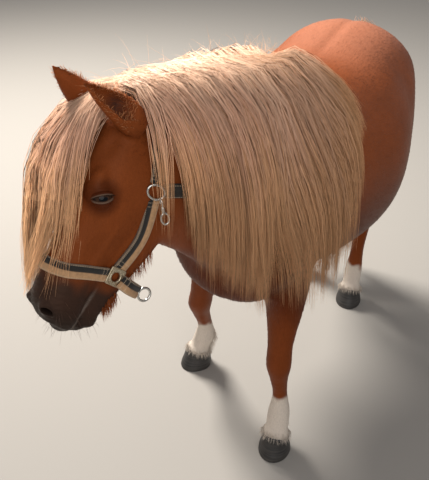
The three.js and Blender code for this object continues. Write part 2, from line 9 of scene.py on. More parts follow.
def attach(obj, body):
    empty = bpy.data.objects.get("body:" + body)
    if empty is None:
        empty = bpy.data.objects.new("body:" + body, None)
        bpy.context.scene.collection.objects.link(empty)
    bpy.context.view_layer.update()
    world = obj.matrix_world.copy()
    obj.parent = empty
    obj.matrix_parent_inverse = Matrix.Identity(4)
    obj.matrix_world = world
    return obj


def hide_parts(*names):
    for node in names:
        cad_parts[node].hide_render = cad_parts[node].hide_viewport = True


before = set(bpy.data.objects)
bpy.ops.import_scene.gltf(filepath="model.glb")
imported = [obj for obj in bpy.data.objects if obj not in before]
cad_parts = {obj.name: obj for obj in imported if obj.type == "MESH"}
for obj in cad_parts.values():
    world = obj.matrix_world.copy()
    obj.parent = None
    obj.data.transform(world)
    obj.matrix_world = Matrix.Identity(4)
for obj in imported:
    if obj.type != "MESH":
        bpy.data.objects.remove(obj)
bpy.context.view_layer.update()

# Camera: at standing eye height, in front of the pony and to its left, looking down at it. Its
# place, aim and lens are the photograph's, worked out from the hooves, head, croup and belly.
MIDDLE = Vector((-0.076, 0.113, 0.0))  # middle of the pony's box, from the ground below its withers
CAMERA_PLACE = Vector((0.526, -1.445, 1.487))
CAMERA_TURN, CAMERA_DIP, CAMERA_ROLL = math.radians(-25.0), math.radians(31.7), math.radians(1.9)
FOCAL_PIXELS, PICTURE_HEIGHT, SENSOR = 705.0, 480.0, 36.0

view_way = Vector((
    math.sin(CAMERA_TURN) * math.cos(CAMERA_DIP),
    math.cos(CAMERA_TURN) * math.cos(CAMERA_DIP),
    -math.sin(CAMERA_DIP),
))
level = view_way.cross(Vector((0, 0, 1))).normalized()
above = level.cross(view_way)
picture_right = level * math.cos(CAMERA_ROLL) + above * math.sin(CAMERA_ROLL)
picture_up = above * math.cos(CAMERA_ROLL) - level * math.sin(CAMERA_ROLL)
camera_data = bpy.data.cameras.new("camera")
camera_data.lens = FOCAL_PIXELS / PICTURE_HEIGHT * SENSOR
camera_data.sensor_width = SENSOR


def placed(name, data):
    made = bpy.data.objects.new(name, data)
    bpy.context.scene.collection.objects.link(made)
    return made


camera = placed("camera", camera_data)
camera.matrix_world = Matrix.Translation(CAMERA_PLACE - MIDDLE) @ Matrix(
    (picture_right, picture_up, -view_way)
).transposed().to_4x4()
bpy.context.scene.camera = camera

# Floor and light: a pale studio floor, a broad soft light from behind the pony's right shoulder,
# a wide weak one from the camera's side, and an even pale surround.
FLOOR_COLOUR = (0.36, 0.34, 0.315, 1.0)
FLOOR_SIZE = 14.0
SURROUND_COLOUR = (0.86, 0.85, 0.85, 1.0)
SURROUND_STRENGTH = 0.40


def material_of(name, colour=(0.5, 0.5, 0.5, 1.0), roughness=0.5):
    made = bpy.data.materials.new(name)
    made.use_nodes = True
    shader = made.node_tree.nodes["Principled BSDF"]
    shader.inputs["Base Color"].default_value = colour
    shader.inputs["Roughness"].default_value = roughness
    return made, made.node_tree, shader


def object_of(name, places, faces, material=None):
    mesh = bpy.data.meshes.new(name)
    mesh.from_pydata([tuple(p) for p in places], [], [tuple(f) for f in faces])
    mesh.update()
    mesh.shade_smooth()
    if material:
        mesh.materials.append(material)
    return placed(name, mesh)


corner = FLOOR_SIZE / 2
floor = object_of(
    "floor", [(-corner, -corner, 0), (corner, -corner, 0), (corner, corner, 0), (-corner, corner, 0)],
    [(0, 1, 2, 3)], material_of("pale_floor", FLOOR_COLOUR, roughness=0.85)[0],
)

LIGHTS = [
    # name, place, aim, size, watts, colour
    ("key", (-2.3, 1.3, 3.4), (0.0, 0.0, 0.6), 1.4, 330.0, (1.0, 0.95, 0.88)),
    ("fill", (1.8, -3.0, 2.2), (0.0, 0.0, 0.5), 3.0, 48.0, (1.0, 0.97, 0.94)),
]
for name, place, aim, size, watts, colour in LIGHTS:
    light_data = bpy.data.lights.new(name, "AREA")
    light_data.shape = "DISK"
    light_data.size = size
    light_data.energy = watts
    light_data.color = colour
    light = placed(name, light_data)
    light.location = place
    light.rotation_euler = (Vector(aim) - Vector(place)).to_track_quat("-Z", "Y").to_euler()
world = bpy.data.worlds.new("surround")
world.use_nodes = True
world.node_tree.nodes["Background"].inputs["Color"].default_value = SURROUND_COLOUR
world.node_tree.nodes["Background"].inputs["Strength"].default_value = SURROUND_STRENGTH
bpy.context.scene.world = world
bpy.context.scene.view_settings.view_transform = "Standard"

# Skin: the pony's whole hide in one piece, over torso, neck, head, jaw and legs, drawn over named
# sections down each part, then blended, and modelled over bone and muscle. It lies inside the
# solids by up to the depth of the short coat.
COAT_DEPTH = 0.004
SKIN_GRAIN = 0.0055  # size of the skin's mesh on the body; the head's is finer
SKIN_SMOOTHING = 36  # rounds of blending where the parts meet

TORSO = [
    # x, y, height of the centre, half width, up, down; from the buttocks to the breast
    (0, 694, 786, 118, 112, 150), (0, 620, 798, 188, 166, 186), (2, 520, 768, 222, 220, 220),
    (6, 400, 718, 246, 262, 242), (6, 260, 694, 264, 268, 260), (0, 120, 712, 242, 258, 276),
    (-8, -20, 732, 210, 268, 270), (-10, -150, 700, 184, 246, 224), (-8, -236, 664, 144, 146, 158),
    (-6, -268, 660, 84, 78, 88),
]
NECK = [
    # x, y, z, half width, up, down; from the shoulders to the poll
    (0, 20, 770, 150, 205, 250), (-8, -110, 800, 140, 222, 262), (-42, -225, 840, 112, 204, 222),
    (-104, -325, 872, 88, 170, 170), (-160, -388, 892, 72, 128, 132), (-196, -420, 900, 60, 92, 108),
]
FACE = [
    # down the nose, height, half width, up, down
    (-28, -60, 40, 36, 50), (16, -66, 62, 62, 80), (90, -80, 74, 84, 100), (150, -84, 74, 80, 92),
    (215, -92, 58, 73, 70), (280, -95, 50, 63, 54), (335, -98, 52, 61, 48), (376, -104, 53, 56, 44),
    (402, -113, 42, 40, 36),
]
JAW = [
    (26, -122, 36, 40, 48), (62, -134, 60, 60, 88), (118, -138, 62, 60, 98), (190, -142, 49, 50, 88),
    (260, -146, 38, 40, 66), (320, -150, 36, 30, 45), (366, -156, 32, 24, 28),
]
FORE_LEG = [
    # height, forward of the leg's line, half width, forward, back
    (660, 0, 60, 84, 84), (540, -8, 60, 86, 84), (440, -6, 48, 58, 62), (350, 12, 34, 38, 40),
    (292, 16, 34, 37, 36), (240, 6, 25, 27, 30), (175, -14, 21, 23, 28), (112, -14, 31, 28, 42),
    (76, -4, 31, 28, 38), (50, 4, 33, 33, 36), (30, 8, 33, 34, 36),
]
HIND_LEG = [
    (800, 0, 90, 120, 110), (690, 18, 92, 150, 132), (560, 22, 80, 124, 118), (450, -26, 52, 68, 72),
    (368, -66, 35, 40, 48), (300, -60, 29, 33, 36), (200, -38, 23, 26, 29), (118, -20, 31, 28, 43),
    (78, -4, 31, 28, 38), (50, 4, 33, 33, 36), (30, 8, 33, 34, 36),
]
LEGS = {
    # sections, where the leg's line starts, where the hoof stands, its turn in degrees
    "foreleg_left": (FORE_LEG, (88, -98), (124, -152), 6),
    "foreleg_right": (FORE_LEG, (-110, -80), (-220, 60), -28),
    "hindleg_left": (HIND_LEG, (116, 560), (104, 600), 8),
    "hindleg_right": (HIND_LEG, (-112, 560), (-112, 690), -6),
}
CORONET = 50  # height of the hooves' rims
CORONET_SLOPE = 0.3  # the rims rise towards the toe
POLL = np.array((-189.0, -409.0, 1004.0))
HEAD_TURN = (
    Matrix.Rotation(math.radians(-16.2), 3, "Z")
    @ Matrix.Rotation(math.radians(49.0), 3, "X")
    @ Matrix.Rotation(math.radians(-19.7), 3, "Y")
)
HEAD_AXES = np.array([HEAD_TURN @ Vector(v) for v in ((1, 0, 0), (0, -1, 0), (0, 0, 1))])
HEAD_MIDDLE = -105  # up from the poll, of the line that the head is hung round
HEAD_SCALE = 418 / 410  # the head as built, over the head as its sections are drawn


def head_way(left, nose, up):
    way = np.array((left, nose, up), float) @ HEAD_AXES
    return way / np.linalg.norm(way)


def on_head(left, nose, up):
    return POLL + (np.array((left, nose, up), float) @ HEAD_AXES) * HEAD_SCALE


def unit(rows):
    return rows / np.maximum(np.linalg.norm(rows, axis=-1, keepdims=True), 1e-9)


def square_to(axis, way):
    # what is left of a direction when it is turned square to an axis
    return unit(way - axis * np.sum(way * axis, -1, keepdims=True))


def toward(start, end, share):
    return start + (end - start) * share


def ridge(offset, width):
    # 1 on a line, falling away on both sides of it
    return np.exp(-((offset / width) ** 2))


def turns(count):
    # evenly spaced angles, once round
    return np.arange(count) / count * 2 * math.pi


def smooth_line(points, t):
    points = np.asarray(points, float)
    last = len(points) - 1
    padded = np.vstack([2 * points[0] - points[1], points, 2 * points[last] - points[last - 1]])
    place = np.clip(np.asarray(t, float), 0, 1) * last
    i = np.minimum(place.astype(int), last - 1)
    w = (place - i)[..., None]
    a, b, c, d = (padded[i + k] for k in range(4))
    start, end = 0.5 * (c - a), 0.5 * (d - b)
    return b + start * w + (3 * (c - b) - 2 * start - end) * w**2 + (2 * (b - c) + start + end) * w**3


def line_way(points, t, step=1e-3):
    return unit(smooth_line(points, t + step) - smooth_line(points, t - step))


FORM_STEPS = 60  # stations along a form, where distances to it are measured


class Form:
    # a tube's centres, half sizes (side, up, down) and side directions, in millimetres.
    def __init__(self, centres, sizes, sides, square=2.0, way=None):
        self.centres, self.sizes, self.sides = (np.asarray(v, float) for v in (centres, sizes, sides))
        self.square, self.way = square, way
        self.samples = self.at(np.linspace(0, 1, FORM_STEPS + 1))

    def at(self, t):
        t = np.asarray(t, float)
        centre = smooth_line(self.centres, t)
        if self.way is None:
            forward = line_way(self.centres, t)
        else:
            forward = np.broadcast_to(self.way, centre.shape)
        side = square_to(forward, smooth_line(self.sides, t))
        return centre, forward, side, np.cross(forward, side), smooth_line(self.sizes, t)

    def surface(self, t, turn, grow=0.0):
        centre, _, side, top, half = self.at(t)
        c, s = np.cos(turn), np.sin(turn)
        across = np.sign(c) * np.abs(c) ** (2 / self.square)
        upright = np.sign(s) * np.abs(s) ** (2 / self.square)
        height = np.where(upright > 0, half[..., 1], half[..., 2])
        return (
            centre
            + side * ((half[..., 0] + grow) * across)[..., None]
            + top * ((height + grow) * upright)[..., None]
        )

    def outwards(self, places, unwrapped=False):
        # how far each place lies outside the form, and which way is out
        centre, forward, side, top, half = self.samples
        offset = places[:, None, :] - centre[None]
        along = np.abs(np.sum(offset * forward[None], -1))
        near = np.argmin(along, 1)
        row = np.arange(len(places))
        offset, along = offset[row, near], along[row, near]
        a, b = np.sum(offset * side[near], -1), np.sum(offset * top[near], -1)
        wide = half[near, 0]
        height = np.where(b > 0, half[near, 1], half[near, 2])
        rho = (np.abs(a / wide) ** self.square + np.abs(b / height) ** self.square) ** (1 / self.square)
        way = unit(side[near] * (a / wide**2)[:, None] + top[near] * (b / height**2)[:, None])
        distance = np.hypot(a, b) * (1 - 1 / np.maximum(rho, 0.2))
        distance = np.where(along > 30, np.maximum(along, distance), distance)
        if unwrapped:
            return distance, way, near / FORM_STEPS, (np.arctan2(b, a) / (2 * math.pi)) % 1.0
        return distance, way


torso_form = Form([r[:3] for r in TORSO], [r[3:] for r in TORSO], [(1, 0, 0)] * len(TORSO), 2.15,
                  np.array((0.0, -1.0, 0.0)))
neck_form = Form(
    [r[:3] for r in NECK], [r[3:] for r in NECK],
    [np.array((1, 0, 0)) + (head_way(1, 0, 0) - (1, 0, 0)) * (i / (len(NECK) - 1)) ** 2
     for i in range(len(NECK))],
)


def head_form(rows):
    return Form([on_head(0, r[0], r[1]) for r in rows], [np.array(r[2:]) * HEAD_SCALE for r in rows],
                [head_way(1, 0, 0)] * len(rows), 2.2, head_way(0, 1, 0))


def leg_form(rows, top, foot, turn):
    centres, sides = [], []
    for height, ahead, *_ in rows:
        drop = min(1.0, (rows[0][0] - height) / (rows[0][0] - CORONET))
        swing = math.radians(turn) * drop
        centres.append((
            top[0] + (foot[0] - top[0]) * drop + ahead * math.sin(swing),
            top[1] + (foot[1] - top[1]) * drop - ahead * math.cos(swing),
            height,
        ))
        sides.append((math.cos(swing), math.sin(swing), 0))
    return Form(centres, [r[2:] for r in rows], sides, 2.0, np.array((0.0, 0.0, -1.0)))


face_form, jaw_form = head_form(FACE), head_form(JAW)
leg_forms = {name: leg_form(*leg) for name, leg in LEGS.items()}
flesh_forms = [torso_form, neck_form, face_form, jaw_form, *leg_forms.values()]


def bridged(rings, sides, closed=False, tipped=False):
    # quads between rings of points; each end is one face, or a fan round a point of its own
    faces = []
    for i in range(rings if closed else rings - 1):
        for k in range(sides):
            a, b, after = i * sides + k, i * sides + (k + 1) % sides, (i + 1) % rings * sides
            faces.append((a, b, after + (k + 1) % sides, after + k))
    first, last = range(sides), range((rings - 1) * sides, rings * sides)
    if tipped:
        for k in range(sides):
            faces.append((rings * sides, first[(k + 1) % sides], first[k]))
            faces.append((rings * sides + 1, last[k], last[(k + 1) % sides]))
    elif not closed:
        faces += [tuple(first)[::-1], tuple(last)]
    return faces


def tube_mesh(form, sides, rings, grow=0.0):
    t = np.repeat(np.linspace(0, 1, rings), sides)
    places = form.surface(t, np.tile(turns(sides), rings), grow)
    return np.vstack([places, form.at(np.array((0.0, 1.0)))[0]]), bridged(rings, sides, tipped=True)


def ball_mesh(subdivisions):
    ball = bmesh.new()
    bmesh.ops.create_icosphere(ball, subdivisions=subdivisions, radius=1.0)
    places = np.array([v.co for v in ball.verts])
    faces = [[v.index for v in f.verts] for f in ball.faces]
    ball.free()
    return places, faces


def lump_mesh(centre, sizes):
    # a ball stretched along the head's own directions
    places, faces = ball_mesh(4)
    return places * sizes @ HEAD_AXES + centre, faces


def gathered(parts):
    places, faces, count = [], [], 0
    for p, f in parts:
        places.append(np.asarray(p))
        faces.extend([tuple(i + count for i in face) for face in f])
        count += len(p)
    return np.vstack(places), faces


def to_row(places):
    # millimetres from the ground below the withers, to metres in the part's own frame
    return np.asarray(places) / 1000 - np.array(MIDDLE)


def from_row(places):
    return (np.asarray(places) + np.array(MIDDLE)) * 1000


EYE_AT, NOSTRIL_AT = (62, 150, -46), (33, 374, -68)
HEAD_LUMPS = [
    # left, nose, up, and half sizes in millimetres: lips, chin, nostrils, brows and eyeballs; one
    # that isn't in the middle is on both sides
    (0, 398, -120, 34, 18, 22), (0, 371, -167, 31, 22, 21), (0, 388, -151, 28, 17, 15),
    (*NOSTRIL_AT, 14, 19, 20), (54, 132, -28, 20, 36, 15), (*EYE_AT, 24, 24, 24),
]
LUMP_INSET, EAR_INSET = 1.0, 0.5
EAR_LENGTH = 133
EAR = [
    # share of the length, half width, half depth
    (-0.12, 28, 24), (0.1, 36, 26), (0.35, 32, 20), (0.62, 24, 14), (0.85, 13, 8), (1, 3.5, 3.5),
]
EARS = {
    # where the base stands on the head and which way the ear points
    1: ((61, 2, -36), (0.22, -0.08, 0.97)), -1: ((-48, 8, -10), (0.04, -0.25, 1)),
}
ears = {}


def sides_of(left):
    return (1, -1) if left else (1,)


for sign, (foot_at, direction) in EARS.items():
    way = head_way(*direction)
    across = unit(np.cross(head_way(sign, -0.6, -0.1), way))
    front = np.cross(way, across)
    base = on_head(*foot_at)
    centres = [base + way * (r[0] * EAR_LENGTH * HEAD_SCALE) - front * (10 * r[0] ** 2) for r in EAR]
    sizes = [np.array((r[1], r[2], r[2])) * HEAD_SCALE for r in EAR]
    ears[sign] = (Form(centres, sizes, [across] * len(EAR), 2.0, way), base, way, across, front)

inset = -COAT_DEPTH * 1000
parts = [
    # form, sides, rings
    tube_mesh(torso_form, 72, 60, inset), tube_mesh(neck_form, 64, 40, inset),
    tube_mesh(face_form, 56, 56, inset / 2), tube_mesh(jaw_form, 48, 44, inset / 2),
]
parts += [tube_mesh(form, 40, 70, inset / 2) for form in leg_forms.values()]
parts += [tube_mesh(ear[0], 32, 30, -EAR_INSET) for ear in ears.values()]
for left, nose, up, *sizes in HEAD_LUMPS:
    for sign in sides_of(left):
        parts.append(lump_mesh(on_head(sign * left, nose, up), np.array(sizes) - LUMP_INSET))
places, faces = gathered(parts)
skin = object_of("pony_skin", to_row(places), faces)
remesh = skin.modifiers.new("join", "REMESH")
remesh.mode = "VOXEL"
remesh.voxel_size = SKIN_GRAIN
joined = bpy.data.meshes.new_from_object(skin.evaluated_get(bpy.context.evaluated_depsgraph_get()))
skin.modifiers.clear()
skin.data = joined


def mesh_rows(mesh, what):
    flat = np.empty(len(mesh.vertices) * 3)
    mesh.vertices.foreach_get(what, flat)
    return flat.reshape(-1, 3)


def set_places(mesh, places):
    mesh.vertices.foreach_set("co", np.ascontiguousarray(places).ravel())
    mesh.update()


def mesh_edges(mesh):
    flat = np.empty(len(mesh.edges) * 2, dtype=np.int64)
    mesh.edges.foreach_get("vertices", flat)
    return flat.reshape(-1, 2)


def relaxed(places, edges, weight, rounds):
    count = len(places)
    degree = np.bincount(edges.ravel(), minlength=count).astype(float)
    for _ in range(rounds):
        total = np.empty_like(places)
        for axis in range(3):
            total[:, axis] = np.bincount(edges[:, 0], places[edges[:, 1], axis], count)
            total[:, axis] += np.bincount(edges[:, 1], places[edges[:, 0], axis], count)
        places = places + (total / degree[:, None] - places) * (0.6 * weight)[:, None]
    return places


def rise(value, low, high):
    # from 0 to 1 between two values, with soft ends
    s = np.clip((value - low) / (high - low), 0, 1)
    return s * s * (3 - 2 * s)


def bump_at(offset, size):
    return np.exp(-np.sum((offset / size) ** 2, -1))


def head_places(places_mm):
    # left, nose and up of each place, in the head's own directions
    return (places_mm - POLL) @ HEAD_AXES.T / HEAD_SCALE


def headness(places_mm):
    # 1 on the head and 0 on the body, changing over the throat
    at = head_places(places_mm)
    return rise(at[:, 1], -60, 30) * rise(-places_mm[:, 1], 230, 330) * rise(at[:, 2], -290, -240)


where = from_row(mesh_rows(skin.data, "co"))
low_leg = 1 - rise(where[:, 2], 300, 480)
blend = np.clip(1 - headness(where) * 0.9 - low_leg, 0.06, 1)
set_places(skin.data, relaxed(mesh_rows(skin.data, "co"), mesh_edges(skin.data), blend, SKIN_SMOOTHING))


def finer(mesh, spots):
    # splits the faces that lie within each spot's radius of its centre
    work = bmesh.new()
    work.from_mesh(mesh)
    mid = from_row(np.array([(e.verts[0].co + e.verts[1].co) / 2 for e in work.edges]))
    near = np.zeros(len(mid), bool)
    for centre, radius in spots:
        near |= np.linalg.norm(mid - centre, axis=1) < radius
    work.edges.ensure_lookup_table()
    chosen = [work.edges[i] for i in np.flatnonzero(near)]
    bmesh.ops.subdivide_edges(work, edges=chosen, cuts=1, use_grid_fill=True, smooth=0.6)
    work.to_mesh(mesh)
    work.free()


EYE_RADIUS = 21.0
LID = 2.2  # thickness of the eyelids
eyes = {}
nostrils = {}
for sign in (1, -1):
    out = head_way(sign, 0.1, 0.2)
    slit = square_to(out, head_way(0, 0.6, 0.8))
    eyes[sign] = (on_head(sign * EYE_AT[0], *EYE_AT[1:]), out, slit, np.cross(out, slit) * sign)
    out = head_way(sign, 0.75, 0.25)
    along = square_to(out, head_way(0, 1, 0))
    nostrils[sign] = (on_head(sign * NOSTRIL_AT[0], *NOSTRIL_AT[1:]), out, along, np.cross(out, along))
FINE_HEAD = [
    # down the nose, radius
    (20, 100), (90, 110), (160, 110), (230, 95), (300, 85), (370, 85),
]
finer(skin.data, [(on_head(0, nose, -100), radius) for nose, radius in FINE_HEAD]
      + [(base + way * 60, 78) for form, base, way, *_ in ears.values()])
finer(skin.data, [(eye[0], 46) for eye in eyes.values()] + [(nostril[0], 38) for nostril in nostrils.values()]
      + [(base + way * 66, 62) for form, base, way, *_ in ears.values()] + [(on_head(0, 380, -140), 46)])
finer(skin.data, [(centre + out * 8, 31) for centre, out, *_ in eyes.values()]
      + [(nostril[0], 26) for nostril in nostrils.values()])
skin.data.update()

# Modelling: bone and muscle raised or sunk along the skin's own normals, in millimetres
HEAD_FORMS = [
    # left, nose, up, reach along each, height: cheek, facial crest, temple, nose, chin, muzzle
    (58, 100, -150, 26, 44, 44, 3.0), (52, 214, -106, 12, 62, 7, 2.6), (50, 60, -22, 14, 24, 14, -4.5),
    (30, 250, -66, 14, 60, 12, 1.6), (52, 262, -92, 20, 46, 13, -2.0), (56, 182, -66, 12, 20, 12, -2.4),
    (34, 300, -146, 22, 40, 22, -2.2), (30, 352, -104, 24, 16, 26, -1.6), (0, 250, -40, 12, 70, 14, -1.2),
    (0, 392, -96, 10, 14, 16, -1.6), (58, 120, -96, 14, 22, 12, -1.4), (60, 118, -20, 16, 22, 10, 2.0),
]
BODY_FORMS = [
    # across, forward, height, reach along each, height: shoulder, chest, ribs, hip, stifle, gaskin
    (170, -120, 720, 60, 70, 130, 5.0), (190, -20, 640, 50, 50, 90, -5.0), (60, -250, 610, 46, 60, 70, 5.0),
    (0, -250, 640, 14, 60, 90, -7.0), (150, 560, 880, 60, 60, 50, 5.0), (230, 420, 880, 60, 60, 60, -6.0),
    (0, 420, 980, 16, 260, 60, -4.0), (170, 560, 700, 60, 90, 90, 4.0), (0, 640, 860, 16, 90, 90, -5.0),
]
skin_mm = from_row(mesh_rows(skin.data, "co"))
normals = mesh_rows(skin.data, "normal")
at_head = head_places(skin_mm)
on_its_head = headness(skin_mm)
height = np.zeros(len(skin_mm))
for left, nose, up, a, b, c, tall in HEAD_FORMS:
    for sign in sides_of(left):
        height += tall * on_its_head * bump_at(at_head - (sign * left, nose, up), (a, b, c))
for x, y, z, a, b, c, tall in BODY_FORMS:
    for sign in sides_of(x):
        height += tall * (1 - on_its_head) * bump_at(skin_mm - (sign * x, y, z), (a, b, c))


def over_mouth(at):
    # height above the line where the lips meet
    return at[:, 2] + 139 - 0.05 * (at[:, 1] - 316)


def by_foot(places_mm, foot, turn):
    # distance from the leg's line on the ground, and how far ahead of it
    x, y = places_mm[:, 0] - foot[0], places_mm[:, 1] - foot[1]
    return np.hypot(x, y), x * math.sin(math.radians(turn)) - y * math.cos(math.radians(turn))


mouth_offset = over_mouth(at_head)
height -= 6.5 * ridge(mouth_offset, 2.6) * on_its_head * rise(at_head[:, 1], 296, 330)
for *_, foot, turn in LEGS.values():
    away, ahead = by_foot(skin_mm, foot, turn)
    height += 5.5 * (away < 80) * ridge(skin_mm[:, 2] - 60 - CORONET_SLOPE * ahead, 11)
wrinkles = 0.5 * np.sin(at_head[:, 1] * 0.55 + np.sin(at_head[:, 2] * 0.2) * 1.5)
height += wrinkles * on_its_head * rise(at_head[:, 1], 300, 350) * 0.5
skin_mm = skin_mm + normals * height[:, None]

# Nostrils: each a comma with a raised rim, sunk deep into the muzzle
nostril_shade = np.zeros(len(skin_mm))
for sign, (centre, out, along, third) in nostrils.items():
    offset = skin_mm - (centre + out * 9)
    o, a, c = offset @ out, offset @ along, offset @ third * sign
    bend = a - 0.012 * (c + 4) ** 2 + 2.0
    reach = np.sqrt((bend / 5.4) ** 2 + (c / 11.5) ** 2)
    near = (np.linalg.norm(offset, axis=1) < 36) & (o > -14)
    rim = ridge(reach - 1.25, 0.28) * 2.6
    sink = (1 - rise(reach, 0.72, 1.2)) * 16
    nostril_shade = np.maximum(nostril_shade, near * (1 - rise(reach, 0.8, 1.3)))
    skin_mm[near] += (rim - sink)[near][:, None] * out

# Eyelids: the skin closes over the eyeball, and opens along the slit
LID_UPPER, LID_LOWER, SLIT_HALF = 6.2, 4.4, 19.5
lid_tone = np.zeros(len(skin_mm))
lid_shade = np.zeros(len(skin_mm))
for centre, out, slit, down in eyes.values():
    offset = skin_mm - centre
    distance = np.linalg.norm(offset, axis=1)
    way = offset / np.maximum(distance, 1e-6)[:, None]
    o, s, w = way @ out, way @ slit * EYE_RADIUS, way @ down * EYE_RADIUS
    facing = rise(o, 0.25, 0.7) * (distance < 44)
    arch = np.clip(1 - (s / SLIT_HALF) ** 2, 0, 1)
    edge = np.where(w < 0, -w - LID_UPPER * arch**0.8, w - LID_LOWER * arch**0.9)
    edge = np.where(np.abs(s) > SLIT_HALF, np.maximum(edge, np.abs(s) - SLIT_HALF), edge)
    open_here = 1 - rise(edge, -0.9, 0.5)
    lid_line = ridge(edge - 1.6, 1.5) * 0.9
    fold = ridge(edge - np.where(w < 0, 8.0, 6.5), 1.7) * np.where(w < 0, 2.0, 1.3)
    fold *= rise(SLIT_HALF + 8 - np.abs(s), 0, 10)
    target = (EYE_RADIUS + LID + lid_line - fold) * (1 - open_here) + (EYE_RADIUS - 4.5) * open_here
    pull = facing * (1 - rise(edge, 5, 16))
    wanted = centre + way * (distance + (target - distance) * pull)[:, None]
    moved = facing > 0
    skin_mm[moved] = wanted[moved]
    lid_tone = np.maximum(lid_tone, facing * (1 - rise(edge, 1.6, 3.6)) * rise(edge, -0.6, 0.4))
    lid_shade = np.maximum(lid_shade, facing * (2 - rise(edge, 4, 15) - rise(edge, -1.2, -0.4)))

# Ears: each front is hollowed into a cup with a rolled rim
ear_inside = np.zeros(len(skin_mm))
ear_share = np.zeros(len(skin_mm))
for form, base, way, across, front in ears.values():
    offset = skin_mm - base
    share = offset @ way / (EAR_LENGTH * HEAD_SCALE)
    wide = np.interp(share, [r[0] for r in EAR], [r[1] * HEAD_SCALE for r in EAR])
    deep = np.interp(share, [r[0] for r in EAR], [r[2] * HEAD_SCALE for r in EAR])
    a = offset @ across / np.maximum(wide, 1)
    f = offset @ front + 10 * share**2
    on_ear = (share > 0.08) & (share < 1.05) & (np.abs(a) < 1.15) & (np.abs(f) < deep + 8)
    mouth_edge = np.abs(a) / np.interp(share, [0.08, 0.3, 0.7, 0.95], [0.35, 0.74, 0.72, 0.3])
    hollow = (1 - rise(mouth_edge, 0.75, 1.1)) * (f > 0)
    hollow *= rise(share, 0.12, 0.3) * (1 - rise(share, 0.9, 1.0))
    back = -(deep - 3.2) * np.sqrt(np.clip(1 - a**2, 0.05, 1)) * 0.85
    roll = ridge(mouth_edge - 1.15, 0.2) * 1.6 * (f > 0)
    shift = np.where(on_ear, hollow * (back - f) + roll, 0)
    skin_mm = skin_mm + shift[:, None] * front
    ear_inside = np.maximum(ear_inside, np.where(on_ear, hollow, 0))
    ear_share = np.maximum(ear_share, np.where(on_ear, share, 0))
set_places(skin.data, to_row(skin_mm))
skin.data.shade_smooth()

# The coat's colours, for the skin and for every tuft that grows on it: chestnut, deeper and redder below and
# duller on the head with painted shade, paler over the croup with a painted sheen, white socks on the feet, a
# grey-brown muzzle, and dark round the eyes
CHESTNUT = np.array((0.27, 0.066, 0.017))
DEEP_CHESTNUT = np.array((0.078, 0.0155, 0.005))
# a paler chestnut, used for the throat's paler coat and as a painted sheen over the croup
PALE_CHESTNUT_AND_SHEEN = np.array((0.50, 0.21, 0.13))
MUZZLE = np.array((0.026, 0.018, 0.0145))
SOCK = np.array((0.66, 0.58, 0.50))
PINK_GREY = np.array((0.20, 0.12, 0.10))
LIP_EDGE = np.array((0.16, 0.13, 0.11))
LID_RIM = np.array((0.16, 0.105, 0.075))
WARM_GLOSS = (1.0, 0.62, 0.45, 1.0)
SOCK_TOPS = {"foreleg_left": 176, "foreleg_right": 188, "hindleg_left": 150, "hindleg_right": 132}


def ripple(places_mm, scale, phase=0.0):
    # a soft, uneven value between about -1 and 1, from a few crossing waves
    x, y, z = (places_mm / scale).T
    return (
        np.sin(x * 1.9 + 1.3 * np.sin(y * 1.1 + phase) + phase)
        + np.sin(y * 2.3 + 1.7 * np.sin(z * 0.9 + 2 * phase) + 1.1)
        + np.sin(z * 2.1 + 1.1 * np.sin(x * 1.3 + phase) + 2.7)
    ) / 3


def coat_colours(places_mm):
    at = head_places(places_mm)
    on_head_here = headness(places_mm)[:, None]
    on_body_here = 1 - on_head_here
    z = places_mm[:, 2]
    uneven = 0.10 * ripple(places_mm, 60) + 0.06 * ripple(places_mm, 17, 2.0)
    colour = CHESTNUT * (1 + uneven)[:, None]
    # painted shade deepens it towards the belly and legs and dulls it on the head;
    # a painted sheen pales it over the croup
    low = (rise(-z, -880, -560) * (0.45 + 0.45 * rise(z, 380, 520)))[:, None]
    colour = toward(colour, DEEP_CHESTNUT, low * on_body_here)
    croup = (rise(z, 900, 985) * rise(places_mm[:, 1], 150, 330))[:, None]
    colour = toward(colour, PALE_CHESTNUT_AND_SHEEN, croup * 0.6 * on_body_here)
    colour = colour * (1 - 0.22 * on_head_here)
    throat = rise(-at[:, 2], 170, 240)[:, None]
    colour = toward(colour, PALE_CHESTNUT_AND_SHEEN, throat * 0.12 * on_head_here)
    # the muzzle greys towards the lips, and the skin darkens round each eye
    front = rise(at[:, 1] - 0.12 * at[:, 2] + 10 * ripple(places_mm, 14, 1.0), 292, 346)[:, None]
    colour = toward(colour, MUZZLE * 1.2, front * 0.93 * on_head_here)
    colour = toward(colour, MUZZLE, rise(at[:, 1], 350, 400)[:, None] * on_head_here)
    for centre, *_ in eyes.values():
        near = np.linalg.norm(places_mm - centre, axis=1)
        colour = toward(colour, DEEP_CHESTNUT * 0.7, (1 - rise(near, 24, 46))[:, None] * 0.7)
    # the socks end in a ragged line, and are a little stained above the hooves
    ragged = z + 9 * ripple(places_mm, 9, 0.5) + 9 * ripple(places_mm, 22, 3.0)
    sock = SOCK * (1 - 0.14 * rise(-z, -90, -40)[:, None])
    for name, sock_top in SOCK_TOPS.items():
        away, _ = by_foot(places_mm, *LEGS[name][2:])
        white = (away < 130) * (1 - rise(ragged, sock_top - 16, sock_top + 10))
        colour = toward(colour, sock, white[:, None])
    return np.clip(colour, 0.004, 1)


def give_colours(mesh, colours):
    layer = mesh.color_attributes.new("coat", "FLOAT_COLOR", "POINT")
    rows = np.ones((len(mesh.vertices), 4))
    rows[:, :3] = colours
    layer.data.foreach_set("color", rows.ravel())


